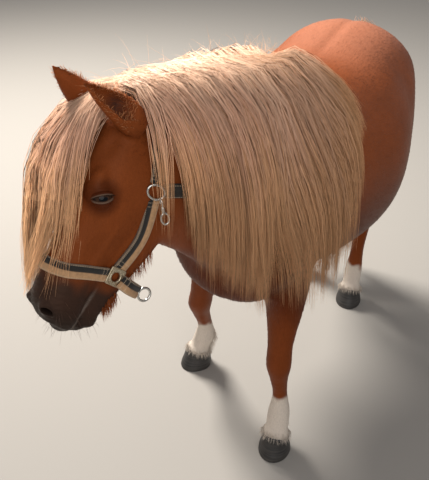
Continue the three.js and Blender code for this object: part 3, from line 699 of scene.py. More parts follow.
skin_colours = coat_colours(skin_mm)
# painted shade along the lids, darkest where the skin sinks inside each eye's slit
skin_colours = toward(skin_colours, DEEP_CHESTNUT * 0.6, lid_shade[:, None] * 0.6)
skin_colours = toward(skin_colours, LID_RIM, lid_tone[:, None] * 0.85)
# the ears' cups: a pink-grey lining, darkened with painted shade towards the base, chestnut towards the tip
ear_lining = toward(PINK_GREY * 0.3, CHESTNUT * 0.8, rise(ear_share, 0.3, 0.6)[:, None])
skin_colours = toward(skin_colours, ear_lining, ear_inside[:, None] * 0.8)
# painted shade inside the nostrils
skin_colours *= 1 - 0.75 * nostril_shade[:, None]
lip_edge = ridge(mouth_offset + 2.6, 1.3) * on_its_head * rise(at_head[:, 1], 300, 335)
skin_colours = toward(skin_colours, LIP_EDGE, lip_edge[:, None] * 0.8)
give_colours(skin.data, skin_colours)


def fill(tree, made, inputs):
    # a socket is joined to the input of its name, and a value is written into it
    for key, value in inputs.items():
        if isinstance(value, bpy.types.NodeSocket):
            tree.links.new(value, made.inputs[key])
        else:
            made.inputs[key].default_value = value
    return made


def node(tree, kind, inputs=(), **settings):
    made = tree.nodes.new(kind)
    for key, value in settings.items():
        setattr(made, key, value)
    return fill(tree, made, dict(inputs))


def coat_paint(tree):
    # the colours that the mesh holds
    return node(tree, "ShaderNodeAttribute", attribute_name="coat").outputs["Color"]


def grain(tree, scale, detail, turn=(0, 0, 0), stretch=(1, 1, 1)):
    # an uneven value fixed to the piece, drawn out along one direction where it is stretched
    place = node(tree, "ShaderNodeTexCoord").outputs["Object"]
    place = node(tree, "ShaderNodeMapping", {"Vector": place, "Rotation": turn, "Scale": stretch}).outputs[0]
    made = node(tree, "ShaderNodeTexNoise", {"Vector": place, "Scale": scale, "Detail": detail})
    return made.outputs["Fac"]


def ranged(tree, value, low, high, source=(0.0, 1.0)):
    return node(tree, "ShaderNodeMapRange", {"Value": value, "From Min": source[0], "From Max": source[1],
                                             "To Min": low, "To Max": high}).outputs[0]


def scaled(tree, colour, share):
    return node(tree, "ShaderNodeVectorMath", {0: colour, "Scale": share}, operation="SCALE").outputs[0]


def relief(tree, height, strength, distance):
    return node(tree, "ShaderNodeBump", {"Strength": strength, "Distance": distance,
                                         "Height": height}).outputs[0]


LEG_TOP = (0.40, 0.52)  # between these heights the coat's lie changes from leg to body
skin_finish, tree, shader = material_of("chestnut_hide", roughness=0.40)
on_legs = grain(tree, 1.0, 4.0, stretch=(760, 760, 90))
on_body = grain(tree, 1.0, 4.0, turn=(0.5, 0, 0), stretch=(760, 80, 760))
place = node(tree, "ShaderNodeTexCoord").outputs["Object"]
tall = node(tree, "ShaderNodeSeparateXYZ", {"Vector": place}).outputs["Z"]
above_legs = ranged(tree, tall, 0.0, 1.0, source=LEG_TOP)
lie = node(tree, "ShaderNodeMix", {0: above_legs, 2: on_legs, 3: on_body}).outputs[0]
fill(tree, shader, {
    "Base Color": scaled(tree, coat_paint(tree), ranged(tree, lie, 0.88, 1.12, source=(0.3, 0.7))),
    "Normal": relief(tree, lie, 0.25, 0.001), "Specular IOR Level": 0.10, "Specular Tint": WARM_GLOSS,
})
skin.data.materials.clear()
skin.data.materials.append(skin_finish)
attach(skin, "root")
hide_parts("torso", "neck", "head", "ear_left", "ear_right", "foreleg_left", "foreleg_right",
            "hindleg_left", "hindleg_right")

# Eyes: dark brown, wet eyeballs with a faint iris and a wide level pupil, sunk behind the lids.
# Each is a ball that bulges a little in front, painted point by point.
EYE_BROWN, IRIS_BROWN = np.array((0.020, 0.011, 0.008)), np.array((0.040, 0.015, 0.006))
PUPIL_BLACK = np.array((0.003, 0.004, 0.006))
EYE_INSET, EYE_BULGE = 0.9, 0.8
eye_finish, tree, shader = material_of("wet_eye", roughness=0.04)
fill(tree, shader, {"Base Color": coat_paint(tree), "Coat Weight": 0.0, "Specular IOR Level": 0.16})
for sign, name in ((1, "left"), (-1, "right")):
    centre, out, slit, down = eyes[sign]
    way, triangles = ball_mesh(5)
    way = unit(way)
    radius = np.hypot(way[:, 1], way[:, 2])
    bulge = (way[:, 0] > 0) * (1 - rise(radius, 0.45, 0.72)) * EYE_BULGE
    reach = (EYE_RADIUS - EYE_INSET + bulge)[:, None]
    places = centre + (way[:, :1] * out + way[:, 1:2] * slit + way[:, 2:] * down) * reach
    eye = object_of("eye_" + name + "_ball", to_row(places), triangles, eye_finish)
    pupil = 1 - rise(np.hypot(way[:, 1] / 0.42, way[:, 2] / 0.22), 0.85, 1.1)
    iris = (1 - rise(radius, 0.62, 0.70)) * (way[:, 0] > 0)
    rays = 0.8 + 0.35 * np.sin(np.arctan2(way[:, 2], way[:, 1]) * 34 + 3 * np.sin(radius * 20))
    tint = EYE_BROWN + IRIS_BROWN * (rays * iris)[:, None]
    give_colours(eye.data, toward(tint, PUPIL_BLACK, (pupil * iris)[:, None]))
    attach(eye, "root")
    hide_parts("eye_" + name)

# Hooves: slate-black horn with growth rings and worn toes, wider at the sole. Each is a stack of
# rings from the ground to just inside the hair of the coronet, notched for the frog at the heel.
HOOF = [
    # height, half width, front, back
    (0, 42, 54.5, 39), (3, 43, 56, 40), (14, 42, 53, 40), (30, 38.5, 44.5, 38), (44, 35.8, 37.5, 36.5),
    (50, 36.2, 36.6, 36.8), (54, 34, 34, 34.5),
]
HOOF_SIDES, HOOF_LEVELS = 64, 28
RING_DEPTH, HEEL_NOTCH = 0.35, 5
HORN_DARK, HORN_PALE, HORN_WORN = (0.018, 0.018, 0.020, 1), (0.095, 0.088, 0.082, 1), (0.16, 0.14, 0.12, 1)


def ramp(tree, value, *stops):
    # a colour from the value, with each stop's place and colour
    made = node(tree, "ShaderNodeValToRGB", {"Fac": value})
    for element, (place, colour) in zip(made.color_ramp.elements, stops):
        element.position = place
        element.color = colour
    return made.outputs["Color"]


hoof_finish, tree, shader = material_of("slate_horn", roughness=0.5)
rings = grain(tree, 1.0, 5.0, stretch=(14, 14, 260))
worn = node(tree, "ShaderNodeMix", {0: grain(tree, 55.0, 6.0), 7: HORN_WORN,
                                    6: ramp(tree, rings, (0.3, HORN_DARK), (0.75, HORN_PALE))},
            data_type="RGBA", blend_type="SOFT_LIGHT")
fill(tree, shader, {"Base Color": worn.outputs[2], "Normal": relief(tree, rings, 0.45, 0.0012)})
for name, (*_, foot, turn) in LEGS.items():
    swing, angle = math.radians(turn), turns(HOOF_SIDES)
    places = []
    for level_up in np.linspace(0, HOOF[-1][0], HOOF_LEVELS):
        wide, ahead, behind = (np.interp(level_up, [r[0] for r in HOOF], [r[k] for r in HOOF])
                               for k in (1, 2, 3))
        ring = RING_DEPTH * math.sin(level_up * 1.15) * (6 < level_up < 44)
        a = np.cos(angle) * (wide + ring)
        f = np.sin(angle) * np.where(np.sin(angle) > 0, ahead + ring, behind)
        notch = (np.sin(angle) < -0.7) * (1 - np.abs(np.cos(angle)) / 0.72) * (level_up < 40)
        f = f - HEEL_NOTCH * notch
        z = level_up + CORONET_SLOPE * f * (level_up / CORONET) ** 3
        places.append(np.stack([foot[0] + f * math.sin(swing) + a * math.cos(swing),
                                foot[1] - f * math.cos(swing) + a * math.sin(swing), z], -1))
    places = np.vstack(places + [[(*foot, 0)], [(*foot, HOOF[-1][0])]])
    hoof = object_of(name.replace("leg", "hoof") + "_horn", to_row(places),
                     bridged(HOOF_LEVELS, HOOF_SIDES, tipped=True), hoof_finish)
    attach(hoof, "root")
    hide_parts(name.replace("leg", "hoof"))

# Mane: thousands of long, slightly wavy hairs in tapering clumps. They rise from the crest, fall
# over the left side and drape on the neck and shoulder; a few fall over the right side.
# on the mane's top the palest is laid on partly as painted sunlight; it also pales the tail
HAIR_LIGHT = np.array((0.97, 0.65, 0.46))
HAIR_GOLD = np.array((1.0, 0.56, 0.28))
# laid on the mane where it hangs by the head, partly as painted shade
HAIR_ROSE = np.array((0.80, 0.45, 0.31))
HAIR_BROWN = np.array((0.45, 0.20, 0.085))
DOWN = np.array((0.0, 0.0, -1.0))
STRAY_SHARE = 0.07  # hairs that leave their lock
RAGGED = 0.36  # most that a hair falls short, as a share of its length
rng = np.random.default_rng(41)


def fall(roots, starts, lengths, heights, weight, stations, steps=16):
    # lines that turn downwards as they go and are kept off the body by their height
    lines = [roots]
    way = unit(starts)
    for _ in range(steps):
        way = unit(toward(way, DOWN, weight))
        after = lines[-1] + way * (lengths / steps)[:, None]
        for form in flesh_forms:
            distance, out = form.outwards(after)
            short = np.clip(heights - distance, 0, None)
            after = after + out * np.minimum(short, 60)[:, None]
        way = unit(after - lines[-1])
        lines.append(after)
    return resampled(np.stack(lines, 1), stations)


def resampled(lines, stations):
    t = np.linspace(0, 1, stations) * (lines.shape[1] - 1)
    i = np.minimum(t.astype(int), lines.shape[1] - 2)
    w = (t - i)[None, :, None]
    before, after = np.maximum(i - 1, 0), np.minimum(i + 2, lines.shape[1] - 1)
    a, b, c, d = lines[:, before], lines[:, i], lines[:, i + 1], lines[:, after]
    return b + 0.5 * w * (c - a + w * (2 * a - 5 * b + 4 * c - d + w * (3 * (b - c) + d - a)))


def across_of(guides):
    # two directions square to each line, and to one another
    forward = unit(np.gradient(guides, axis=1))
    across = unit(np.cross(forward, np.array((0.3, 0.2, 1.0))))
    return across, np.cross(forward, across)


def clumped(guides, each, spread, thick, gather, wave):
    # hairs round each guide line: drawn together towards its tip, a little wavy, some of them astray
    count, stations = guides.shape[:2]
    t = np.linspace(0, 1, stations)[None, :, None]
    across, third = across_of(guides)
    lines = []
    for _ in range(each):
        a, b = rng.normal(0, 0.5, (2, count, 1, 1))
        astray = rng.random((count, 1, 1)) < STRAY_SHARE
        close = 1 - gather * (1 - astray) * t**2.5
        phase, other = rng.uniform(0, 6.28, (2, count, 1, 1))
        swing = np.sin(t * rng.uniform(2, 6, (count, 1, 1)) + phase)
        swing = wave * (1 + 3.5 * astray) * (swing + 0.3 * np.sin(t * 17 + other)) * t
        offset = across * (a * spread * close + swing) + third * (b * thick * close + 0.4 * swing)
        cut = 1 - rng.random(count) ** 2 * RAGGED
        lines.append(shortened(guides + offset, cut))
    return np.concatenate(lines)


def wandered(guides, size):
    # whole locks that sway and cross one another
    count, stations = guides.shape[:2]
    t = np.linspace(0, 1, stations)[None, :, None]
    across, _ = across_of(guides)
    phase = rng.uniform(0, 6.28, (count, 1, 1))
    sway = np.sin(t * rng.uniform(2.5, 6.5, (count, 1, 1)) + phase) - np.sin(phase)
    return guides + across * (size * rng.normal(0, 1, (count, 1, 1)) * sway * t**0.7)


def shortened(lines, shares):
    # each line cut to its own share of its length
    stations = lines.shape[1]
    place = np.linspace(0, 1, stations)[None, :] * shares[:, None] * (stations - 1)
    i = np.minimum(place.astype(int), stations - 2)
    w = (place - i)[..., None]
    row = np.arange(len(lines))[:, None]
    return lines[row, i] * (1 - w) + lines[row, i + 1] * w


CORE = np.array(sorted(((r[1], r[0], r[2]) for r in NECK[1:] + TORSO[:6]), key=lambda row: row[0]))


def outward_of(lines):
    # away from the middle of the neck, head or dock that the hair hangs on
    places = lines.reshape(-1, 3)
    y = places[:, 1]
    middle = np.stack([np.interp(y, CORE[:, 0], CORE[:, 1]), y, np.interp(y, CORE[:, 0], CORE[:, 2])], -1)
    out = unit((places - middle) * (1, 0, 0.6))
    at = head_places(places)
    from_head = unit(at * (1, 0, 0) + (at - (0, 0, HEAD_MIDDLE)) * (0, 0, 1)) @ HEAD_AXES
    out = toward(out, from_head, headness(places)[:, None])
    behind = unit((places - (0, 740, 0)) * (1, 1, 0))
    return unit(toward(out, behind, rise(y, 660, 700)[:, None])).reshape(lines.shape)


HAIR_PATCH = ((0, 0), (0.003, 0), (0.0015, 0.003))  # a hair's own spot on the unwrap


def hair_mesh(name, lines, width, finish, tint, soft=0.0):
    # each hair is a three-sided tapering thread, shaded partly as the whole fall of hair is
    count, stations = lines.shape[:2]
    t = np.linspace(0, 1, stations)
    forward = unit(np.gradient(lines, axis=1))
    across = unit(np.cross(forward, unit(rng.normal(0, 1, (count, 1, 3)))))
    third = np.cross(forward, across)
    size = (0.55 + 0.45 * np.sin(np.minimum(1, t / 0.25) * math.pi / 2)) * (1 - t**2.2 * 0.93)
    size = size[None, :, None] * width * rng.uniform(0.7, 1.3, (count, 1, 1))
    rings = np.stack([across * math.cos(turn) + third * math.sin(turn) for turn in (0, 2.094, 4.189)], 2)
    places = (lines[:, :, None] + size[:, :, None] * rings).reshape(-1, 3)
    facing = None
    if soft:
        facing = unit(rings * (1 - soft) + outward_of(lines)[:, :, None] * soft).reshape(-1, 3)
    k = np.arange(3)
    ring = (np.arange(stations - 1) * 3)[:, None]
    a, b = ring + k, ring + (k + 1) % 3
    one = np.stack([np.stack([a, b, b + 3], -1), np.stack([a, b + 3, a + 3], -1)], 2).reshape(-1, 3)
    tip = (stations - 1) * 3
    one = np.vstack([one, [(0, 2, 1), (tip, tip + 1, tip + 2)]])
    triangles = (np.arange(count) * stations * 3)[:, None, None] + one[None]
    tones = np.repeat(tint(lines, t).reshape(-1, 3), 3, 0)
    uv = np.repeat(unwrap(lines[:, 0]), stations * 3, 0) + np.tile(HAIR_PATCH, (count * stations, 1))
    return fast_mesh(name, to_row(places), triangles.reshape(-1, 3), finish, tones, uv, facing)


def fast_mesh(name, places, triangles, material, colours, uv, facing=None):
    mesh = bpy.data.meshes.new(name)
    mesh.vertices.add(len(places))
    mesh.vertices.foreach_set("co", np.ascontiguousarray(places).ravel())
    mesh.loops.add(triangles.size)
    mesh.loops.foreach_set("vertex_index", np.ascontiguousarray(triangles).ravel().astype(np.int32))
    mesh.polygons.add(len(triangles))
    mesh.polygons.foreach_set("loop_start", np.arange(0, triangles.size, 3, dtype=np.int32))
    mesh.update(calc_edges=True)
    mesh.materials.append(material)
    mesh.shade_smooth()
    give_colours(mesh, colours)
    mesh.uv_layers.new(name="OFBake").data.foreach_set("uv", uv[triangles.ravel()].ravel())
    if facing is not None:
        mesh.normals_split_custom_set_from_vertices(facing)
    return placed(name, mesh)


# Each form of the body has its own rectangle on the coat's unwrap: along the form, and round it.
SHEET = [
    (0.0, 0.0, 0.62, 0.5), (0.64, 0.0, 0.35, 0.4), (0.0, 0.52, 0.3, 0.3), (0.32, 0.52, 0.25, 0.25),
    (0.6, 0.52, 0.19, 0.22), (0.8, 0.52, 0.19, 0.22), (0.6, 0.76, 0.19, 0.22), (0.8, 0.76, 0.19, 0.22),
]


def unwrap(places_mm):
    best = np.full(len(places_mm), np.inf)
    uv = np.zeros((len(places_mm), 2))
    for form, (x, y, w, h) in zip(flesh_forms, SHEET):
        for start in range(0, len(places_mm), 20000):
            rows = slice(start, start + 20000)
            distance, _, along, turn = form.outwards(places_mm[rows], True)
            closer = distance < best[rows]
            spot = np.stack([x + w * along, y + h * turn], -1)
            uv[rows] = np.where(closer[:, None], spot, uv[rows])
            best[rows] = np.where(closer, distance, best[rows])
    return uv


def hair_material(name, roughness=0.42, gloss=0.25):
    finish, tree, shader = material_of(name, roughness=roughness)
    fill(tree, shader, {"Base Color": coat_paint(tree), "Specular IOR Level": gloss,
                        "Specular Tint": WARM_GLOSS})
    return finish


hair_finish = hair_material("flaxen_hair")
CREST = [
    # share of the neck's length, height of the roots above it
    (0.32, 4), (0.45, 8), (0.58, 12), (0.71, 18), (0.85, 26), (0.97, 30),
]
centre, _, _, top, half = neck_form.at(np.array([c[0] for c in CREST]))
lift = np.array([[c[1]] for c in CREST])
crest_line = np.vstack([[(-2, -22, 1008), (-10, -76, 1020)], centre + top * (half[:, 1:2] + lift)])
MANE_GUIDES, MANE_EACH, MANE_LENGTH = 520, 22, 640
FLYAWAYS = 280
MANE_FALL = [
    # share of the way from the withers to the poll, share of the length
    (0, 0.4), (0.1, 0.5), (0.2, 0.72), (0.36, 0.95), (0.67, 0.9), (0.8, 0.72), (0.9, 0.5), (1, 0.4),
]
LEFT_SHARE = 0.86  # hairs that fall over the left side
MANE_PIECES = 4


def mane_tint(lines, t):
    # palest on top, partly painted sunlight; a rosy brown where it hangs by the head and browner towards the
    # withers, partly painted shade; golden lower down; each hair a little apart
    each = (len(lines), 1, 1)
    root = lines[:, 0]
    tone = 1 + 0.09 * ripple(root, 9.0)[:, None, None] + rng.uniform(-0.16, 0.16, each)
    along = t[None, :, None] + 0.12 * ripple(root, 31.0, 1.0)[:, None, None]
    by_head = rise(-root[:, 1], 60, 330)[:, None, None]
    own = toward(HAIR_LIGHT, HAIR_ROSE, rise(along, 0.06, 0.34) * (0.25 + 0.65 * by_head))
    own = toward(own, HAIR_GOLD, rise(along, 0.3, 0.75) * 0.85)
    brown = (rng.random(each) < 0.09) * 0.6
    # browner towards the withers: partly darker hairs, partly painted shade
    brown = brown + 0.42 * (1 - brown) * rise(root[:, 1], -250, -110)[:, None, None]
    return toward(own, HAIR_BROWN, brown) * tone


def crest_at(t):
    return smooth_line(crest_line, t), line_way(crest_line, t)


t = rng.uniform(0.0, 0.97, MANE_GUIDES)
side = np.where(rng.random(MANE_GUIDES) < LEFT_SHARE, 1.0, -1.0)
t = np.where(side > 0, t * 0.9, t)
root, along = crest_at(t)
root = root + np.stack([side * 4, np.zeros(MANE_GUIDES), np.full(MANE_GUIDES, 6.0)], -1)
root = root + rng.normal(0, 4, root.shape)
start = np.stack([side, np.maximum(0, 0.3 - t), np.full(MANE_GUIDES, 0.42)], -1)
start = start + along * rng.uniform(-0.16, 0.16, (MANE_GUIDES, 1))
reach = MANE_LENGTH * rng.uniform(0.86, 1.05, MANE_GUIDES) * np.interp(t, *zip(*MANE_FALL))
reach = np.where(side > 0, reach, MANE_LENGTH * rng.uniform(0.42, 0.62, MANE_GUIDES))
height = rng.uniform(6, 32, MANE_GUIDES)
guides = fall(root, start, reach, height, 0.3, stations=8)
mane_lines = clumped(wandered(guides, 5.0), MANE_EACH, spread=19.0, thick=11.0, gather=0.35, wave=2.5)
t = rng.uniform(0.0, 1.0, FLYAWAYS)
root, along = crest_at(t)
start = np.stack([rng.normal(0.1, 0.6, FLYAWAYS), rng.normal(-0.3, 0.6, FLYAWAYS),
                  np.full(FLYAWAYS, 0.6)], -1)
root = root + rng.normal(0, 8, root.shape)
reach = rng.uniform(25, 85, FLYAWAYS)
droop = rng.uniform(0.02, 0.12, (FLYAWAYS, 1))
loose = wandered(fall(root, start, reach, np.full(FLYAWAYS, 8.0), droop, stations=6), 7.0)
flyaways = hair_mesh("mane_flyaways", loose, 0.28, hair_finish, mane_tint, soft=0.5)
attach(flyaways, "root")
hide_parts("mane")
for number in range(MANE_PIECES):
    mane = hair_mesh("mane_hair_%d" % (number + 1), mane_lines[number::MANE_PIECES], 0.7, hair_finish,
                     mane_tint, soft=0.75)
    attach(mane, "root")
    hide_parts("mane")

# Forelock: the same hair as the mane's, springing from between the ears and falling over the
# face, mostly down its right side.
FORELOCK_GUIDES, FORELOCK_EACH, FORELOCK_LENGTH = 150, 22, 560
t = rng.random(FORELOCK_GUIDES)
back = rng.random(FORELOCK_GUIDES)
root = POLL + (np.stack([-32 + 64 * t, -10 + 24 * back, 28 - 18 * back], -1) @ HEAD_AXES)
start = np.array([head_way(-1.8 + 2.28 * s, 0.55 + 0.25 * s, 0.95 - 0.5 * s) for s in t])
reach = FORELOCK_LENGTH * rng.uniform(0.72, 1.16, len(t)) * (1 - 0.42 * t)
stand = rng.uniform(3, 18, len(t)) + 26 * (1 - t)
guides = fall(root, start, reach, stand, (0.21 - 0.04 * t)[:, None], stations=8)
forelock_lines = clumped(wandered(guides, 4.0), FORELOCK_EACH, spread=15.0, thick=8.0, gather=0.5, wave=2.5)
forelock = hair_mesh("forelock_hair", forelock_lines, 0.65, hair_finish, mane_tint, soft=0.75)
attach(forelock, "root")
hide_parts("forelock")

# Tail: a short dock under thick hair that hangs to the fetlocks, paler than the mane. Its hairs
# spring from all round the dock and close over it.
DOCK = [
    # x, y, z, radius
    (0, 650, 926, 34), (0, 712, 914, 33), (0, 756, 858, 29), (0, 770, 770, 24), (0, 770, 680, 16),
]
TAIL_GUIDES, TAIL_EACH, TAIL_LENGTH = 130, 20, 800
TAIL_CLEAR = 70  # lowest that the tail reaches above the ground
dock_form = Form([r[:3] for r in DOCK], [(r[3], r[3], r[3]) for r in DOCK], [(1, 0, 0)] * len(DOCK))
t = rng.uniform(0.12, 0.95, TAIL_GUIDES)
turn = rng.uniform(0, 2 * math.pi, TAIL_GUIDES)
centre, forward, side, top, half = dock_form.at(t)
out = side * np.cos(turn)[:, None] + top * np.sin(turn)[:, None]
root = centre + out * half[:, :1] * 0.6
reach = np.minimum(TAIL_LENGTH * rng.uniform(0.8, 1, TAIL_GUIDES), root[:, 2] - TAIL_CLEAR)
guides = fall(root, out * 0.45 + forward * 0.8, reach, np.full(TAIL_GUIDES, 12.0), 0.4, stations=9)
tail_lines = clumped(wandered(guides, 6.0), TAIL_EACH, spread=17.0, thick=14.0, gather=0.4, wave=3.0)


def tail_tint(lines, t):
    tone = rng.random((len(lines), 1, 1))
    light = (HAIR_LIGHT * 0.5 + (0.5, 0.44, 0.38)) * (0.9 + 0.1 * tone)
    return toward(light, HAIR_GOLD, rise(t[None, :, None] + 0.3 * (tone - 0.5), 0.2, 1.0) * 0.8)


tail = hair_mesh("tail_hair", tail_lines, 0.9, hair_finish, tail_tint, soft=0.6)
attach(tail, "root")
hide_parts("tail")

# Halter: padded webbing in two tones, slate in front and tan behind, with stitched edges and ends.
# Every strap lies on the hide, but for the chin strap, which hangs loose below the jaw.
WEBBING_WIDTH, WEBBING_THICK = 28.0, 5.0
CHIN_SLACK = 38
WEBBING_STEP = 1.6  # from one ring of points to the next, along a strap
TRIM_AT, SEAM_AT = 13.5, 11.6  # pale trim and stitches, from the middle of the webbing
SLATE = np.array((0.030, 0.028, 0.026))
TAN = np.array((0.52, 0.31, 0.165))
THREAD = np.array((0.62, 0.47, 0.33))
DARK_SLATE = np.array((0.035, 0.030, 0.026))
RIB_LONG, RIB_WIDE, STITCH, END_STITCH = 1.9, 1.6, 4.2, 3.2  # how far each repeats
SQUARE_AT, RING_AT, TIE_AT = (272, -56), (94, -24), (285, -90)  # nose, angle from level
CHEEK = [SQUARE_AT, (184, -52), RING_AT]


def on_hide(nose, angle):
    # where a ray from inside the head leaves the hide, and the hide's own outward direction there
    ray = head_way(math.cos(math.radians(angle)), 0, math.sin(math.radians(angle)))
    places = on_head(0, nose, HEAD_MIDDLE) + ray * np.arange(200.0, 20.0, -1.0)[:, None]
    distance, way = zip(*(form.outwards(places) for form in (face_form, jaw_form, neck_form)))
    here = np.argmax(np.min(distance, 0) <= 0)
    nearest = np.argmin([d[here] for d in distance])
    return places[here], way[nearest][here]


def mirrored(rows, total):
    return rows + [(r[0], total - r[1], *r[2:]) for r in rows[-2::-1]]


STRAPS = {
    # stations down the nose and round the head, each with its share of the chin strap's slack,
    # the slate side, and the ends trimmed for fittings
    "halter_noseband": (mirrored([SQUARE_AT, (284, 4), (298, 48), (304, 90)], 180), 1, (17, 17)),
    "halter_chin_strap": (mirrored([SQUARE_AT, (280, -70, 0.6), (*TIE_AT, 1)], -180), -1, (17, 17)),
    "halter_cheek_strap_left": (CHEEK, -1, (17, 16)),
    "halter_cheek_strap_right": ([(nose, 180 - angle) for nose, angle in CHEEK], 1, (17, 16)),
    "halter_crown": (mirrored([RING_AT, (42, -6), (-22, 32), (-46, 90)], 180), -1, (16, 16)),
    "halter_throat_strap": (mirrored([RING_AT, (60, -48), (36, -70), (30, -90)], -180), 1, (16, 16)),
}
webbing_finish, tree, shader = material_of("padded_webbing", roughness=0.82)


def worked(operation, *values):
    return node(tree, "ShaderNodeMath", dict(enumerate(values)), operation=operation).outputs[0]


def wave(source, length):
    return worked("SINE", worked("MULTIPLY", source, 2 * math.pi / length))


def line_at(source, place, width):
    return worked("LESS_THAN", worked("ABSOLUTE", worked("SUBTRACT", source, place)), width)


along, across, ends = (node(tree, "ShaderNodeAttribute", attribute_name=name).outputs["Fac"]
                       for name in ("along", "across", "end"))
ribs = worked("MULTIPLY", wave(along, RIB_LONG), wave(across, RIB_WIDE))
edge_seam = worked("MULTIPLY", line_at(worked("ABSOLUTE", across), SEAM_AT, 0.45),
                   worked("GREATER_THAN", wave(along, STITCH), -0.3))
end_seam = worked("MULTIPLY", worked("ADD", line_at(ends, 7.0, 0.5), line_at(ends, 15.0, 0.5)),
                  worked("GREATER_THAN", wave(across, END_STITCH), -0.3))
seams = worked("MAXIMUM", edge_seam, end_seam)
coloured = node(tree, "ShaderNodeMix", {0: seams, 6: coat_paint(tree), 7: (*THREAD, 1)},
                data_type="RGBA").outputs[2]
fill(tree, shader, {
    "Base Color": scaled(tree, coloured, ranged(tree, grain(tree, 140.0, 5.0), 0.65, 1.35)),
    "Normal": relief(tree, worked("ADD", ribs, worked("MULTIPLY", seams, 1.5)), 0.6, 0.0005),
    "Sheen Weight": 0.1, "Specular IOR Level": 0.2,
})

SECTION = [
    # across and out, as shares of the half width and thickness: two padded halves with a valley between
    (-1.0, -0.55), (-1.0, 0.35), (-0.97, 0.72), (-0.9, 0.8), (-0.82, 0.84), (-0.7, 0.97), (-0.55, 1.0),
    (-0.35, 1.0), (-0.18, 0.93), (-0.06, 0.76), (0.0, 0.7), (0.06, 0.76), (0.18, 0.93), (0.35, 1.0),
    (0.55, 1.0), (0.7, 0.97), (0.82, 0.84), (0.9, 0.8), (0.97, 0.72), (1.0, 0.35), (1.0, -0.55),
    (0.5, -0.62), (0.0, -0.62), (-0.5, -0.62),
]


def give_values(mesh, name, values):
    layer = mesh.attributes.new(name, "FLOAT", "POINT")
    layer.data.foreach_set("value", np.ascontiguousarray(values, dtype=np.float32))


for name, (stations, slate_side, trims) in STRAPS.items():
    held = [on_hide(s[0], s[1]) for s in stations]
    slack = [CHIN_SLACK * (s[2] if len(s) > 2 else 0) for s in stations]
    points = np.array([place + out * loose for (place, out), loose in zip(held, slack)])
    outs = np.array([out for place, out in held])
    t = np.linspace(0, 1, 900)
    line = smooth_line(points, t)
    run = np.concatenate([[0], np.cumsum(np.linalg.norm(np.diff(line, axis=0), axis=1))])
    whole = run[-1] - trims[0] - trims[1]
    steps = int(whole / WEBBING_STEP)
    t = np.interp(trims[0] + np.linspace(0, whole, steps), run, t)
    centre = smooth_line(points, t)
    forward = line_way(points, t)
    out = square_to(forward, smooth_line(outs, t))
    side = np.cross(forward, out)
    distance = np.linspace(0, whole, steps)
    end = np.minimum(distance, whole - distance)
    swell = 1 - 0.5 * ridge(end, 3.0)
    rings = []
    for a, h in SECTION:
        rise_out = h * WEBBING_THICK * (swell if h > 0 else 1)
        rings.append(centre + side * (a * WEBBING_WIDTH / 2) + out * np.reshape(rise_out, (-1, 1)))
    places = np.stack(rings, 1).reshape(-1, 3)
    wide = np.tile([a * WEBBING_WIDTH / 2 for a, h in SECTION], steps)
    on_slate = 1 / (1 + np.exp(-wide * slate_side * 4.0))[:, None]
    colours = toward(TAN, SLATE, on_slate)
    colours = toward(colours, THREAD * 0.8, ridge(np.abs(wide) - TRIM_AT, 0.8)[:, None] * 0.7)
    if name == "halter_throat_strap":
        colours = DARK_SLATE
    band = object_of(name.replace("halter_", "webbing_"), to_row(places), bridged(steps, len(SECTION)),
                     webbing_finish)
    give_colours(band.data, colours)
    give_values(band.data, "along", np.repeat(distance, len(SECTION)))
    give_values(band.data, "across", wide)
    give_values(band.data, "end", np.repeat(end, len(SECTION)))
    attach(band, "root")
    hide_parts(name)

# Halter fittings: a cast, rounded square with a round eye on each cheek, an oval chrome ring above
# it, the tie ring under the chin, and the throat strap's snap hanging from the left ring.
CAST_DARK, CAST_PALE = (0.30, 0.22, 0.13, 1), (0.66, 0.58, 0.43, 1)
RING_RADIUS, RING_BAR = 14, 2.8
SQUARE_EYE, SQUARE_HALF = 9.5, 18.5
SEAT_HEIGHT = 6  # the fittings' middles, above the hide
cast_finish, tree, shader = material_of("cast_metal", roughness=0.38)
pits = grain(tree, 420.0, 4.0)
fill(tree, shader, {"Base Color": ramp(tree, pits, (0.35, CAST_DARK), (0.6, CAST_PALE)), "Metallic": 0.85,
                    "Normal": relief(tree, pits, 0.3, 0.0003)})
chrome_finish, tree, shader = material_of("worn_chrome", (0.62, 0.61, 0.58, 1.0))
fill(tree, shader, {"Roughness": ranged(tree, grain(tree, 700.0, 5.0), 0.08, 0.42), "Metallic": 1.0})


def bar(name, points, thickness, finish, closed=False, sides=14):
    # a round bar bent along these points
    points = np.asarray(points, float)
    step = (np.roll(points, -1, 0) - np.roll(points, 1, 0)) if closed else np.gradient(points, axis=0)
    forward = unit(step)
    across = unit(np.cross(forward, unit(np.cross(points[1] - points[0], points[2] - points[0]) + 1e-9)))
    third = np.cross(forward, across)
    turn = turns(sides)
    size = np.broadcast_to(thickness, (len(points),))[:, None, None]
    rings = points[:, None] + size * (across[:, None] * np.cos(turn)[:, None]
                                      + third[:, None] * np.sin(turn)[:, None])
    return object_of(name, to_row(rings.reshape(-1, 3)), bridged(len(points), sides, closed), finish)


def oval(centre, across, upright, wide, tall, steps=56):
    turn = turns(steps)[:, None]
    return centre + across * (wide * np.cos(turn)) + upright * (tall * np.sin(turn))


SQUARE_PROFILE = [
    # share of the way from the eye to the rim, and height above the plate's middle
    (0.0, -2.2), (0.0, 1.9), (0.12, 3.1), (0.30, 3.3), (0.42, 2.3), (0.62, 2.3), (0.78, 3.0), (0.92, 2.9),
    (1.0, 1.8), (1.0, -2.2), (0.5, -2.6),
]


def seat(nose, angle, sign=1):
    # where a fitting sits on the hide, and its directions: outwards, down the nose, and across both
    place, out = on_hide(nose, angle if sign > 0 else 180 - angle)
    down_nose = square_to(out, head_way(0, 1, 0))
    return place, out, down_nose, np.cross(out, down_nose)


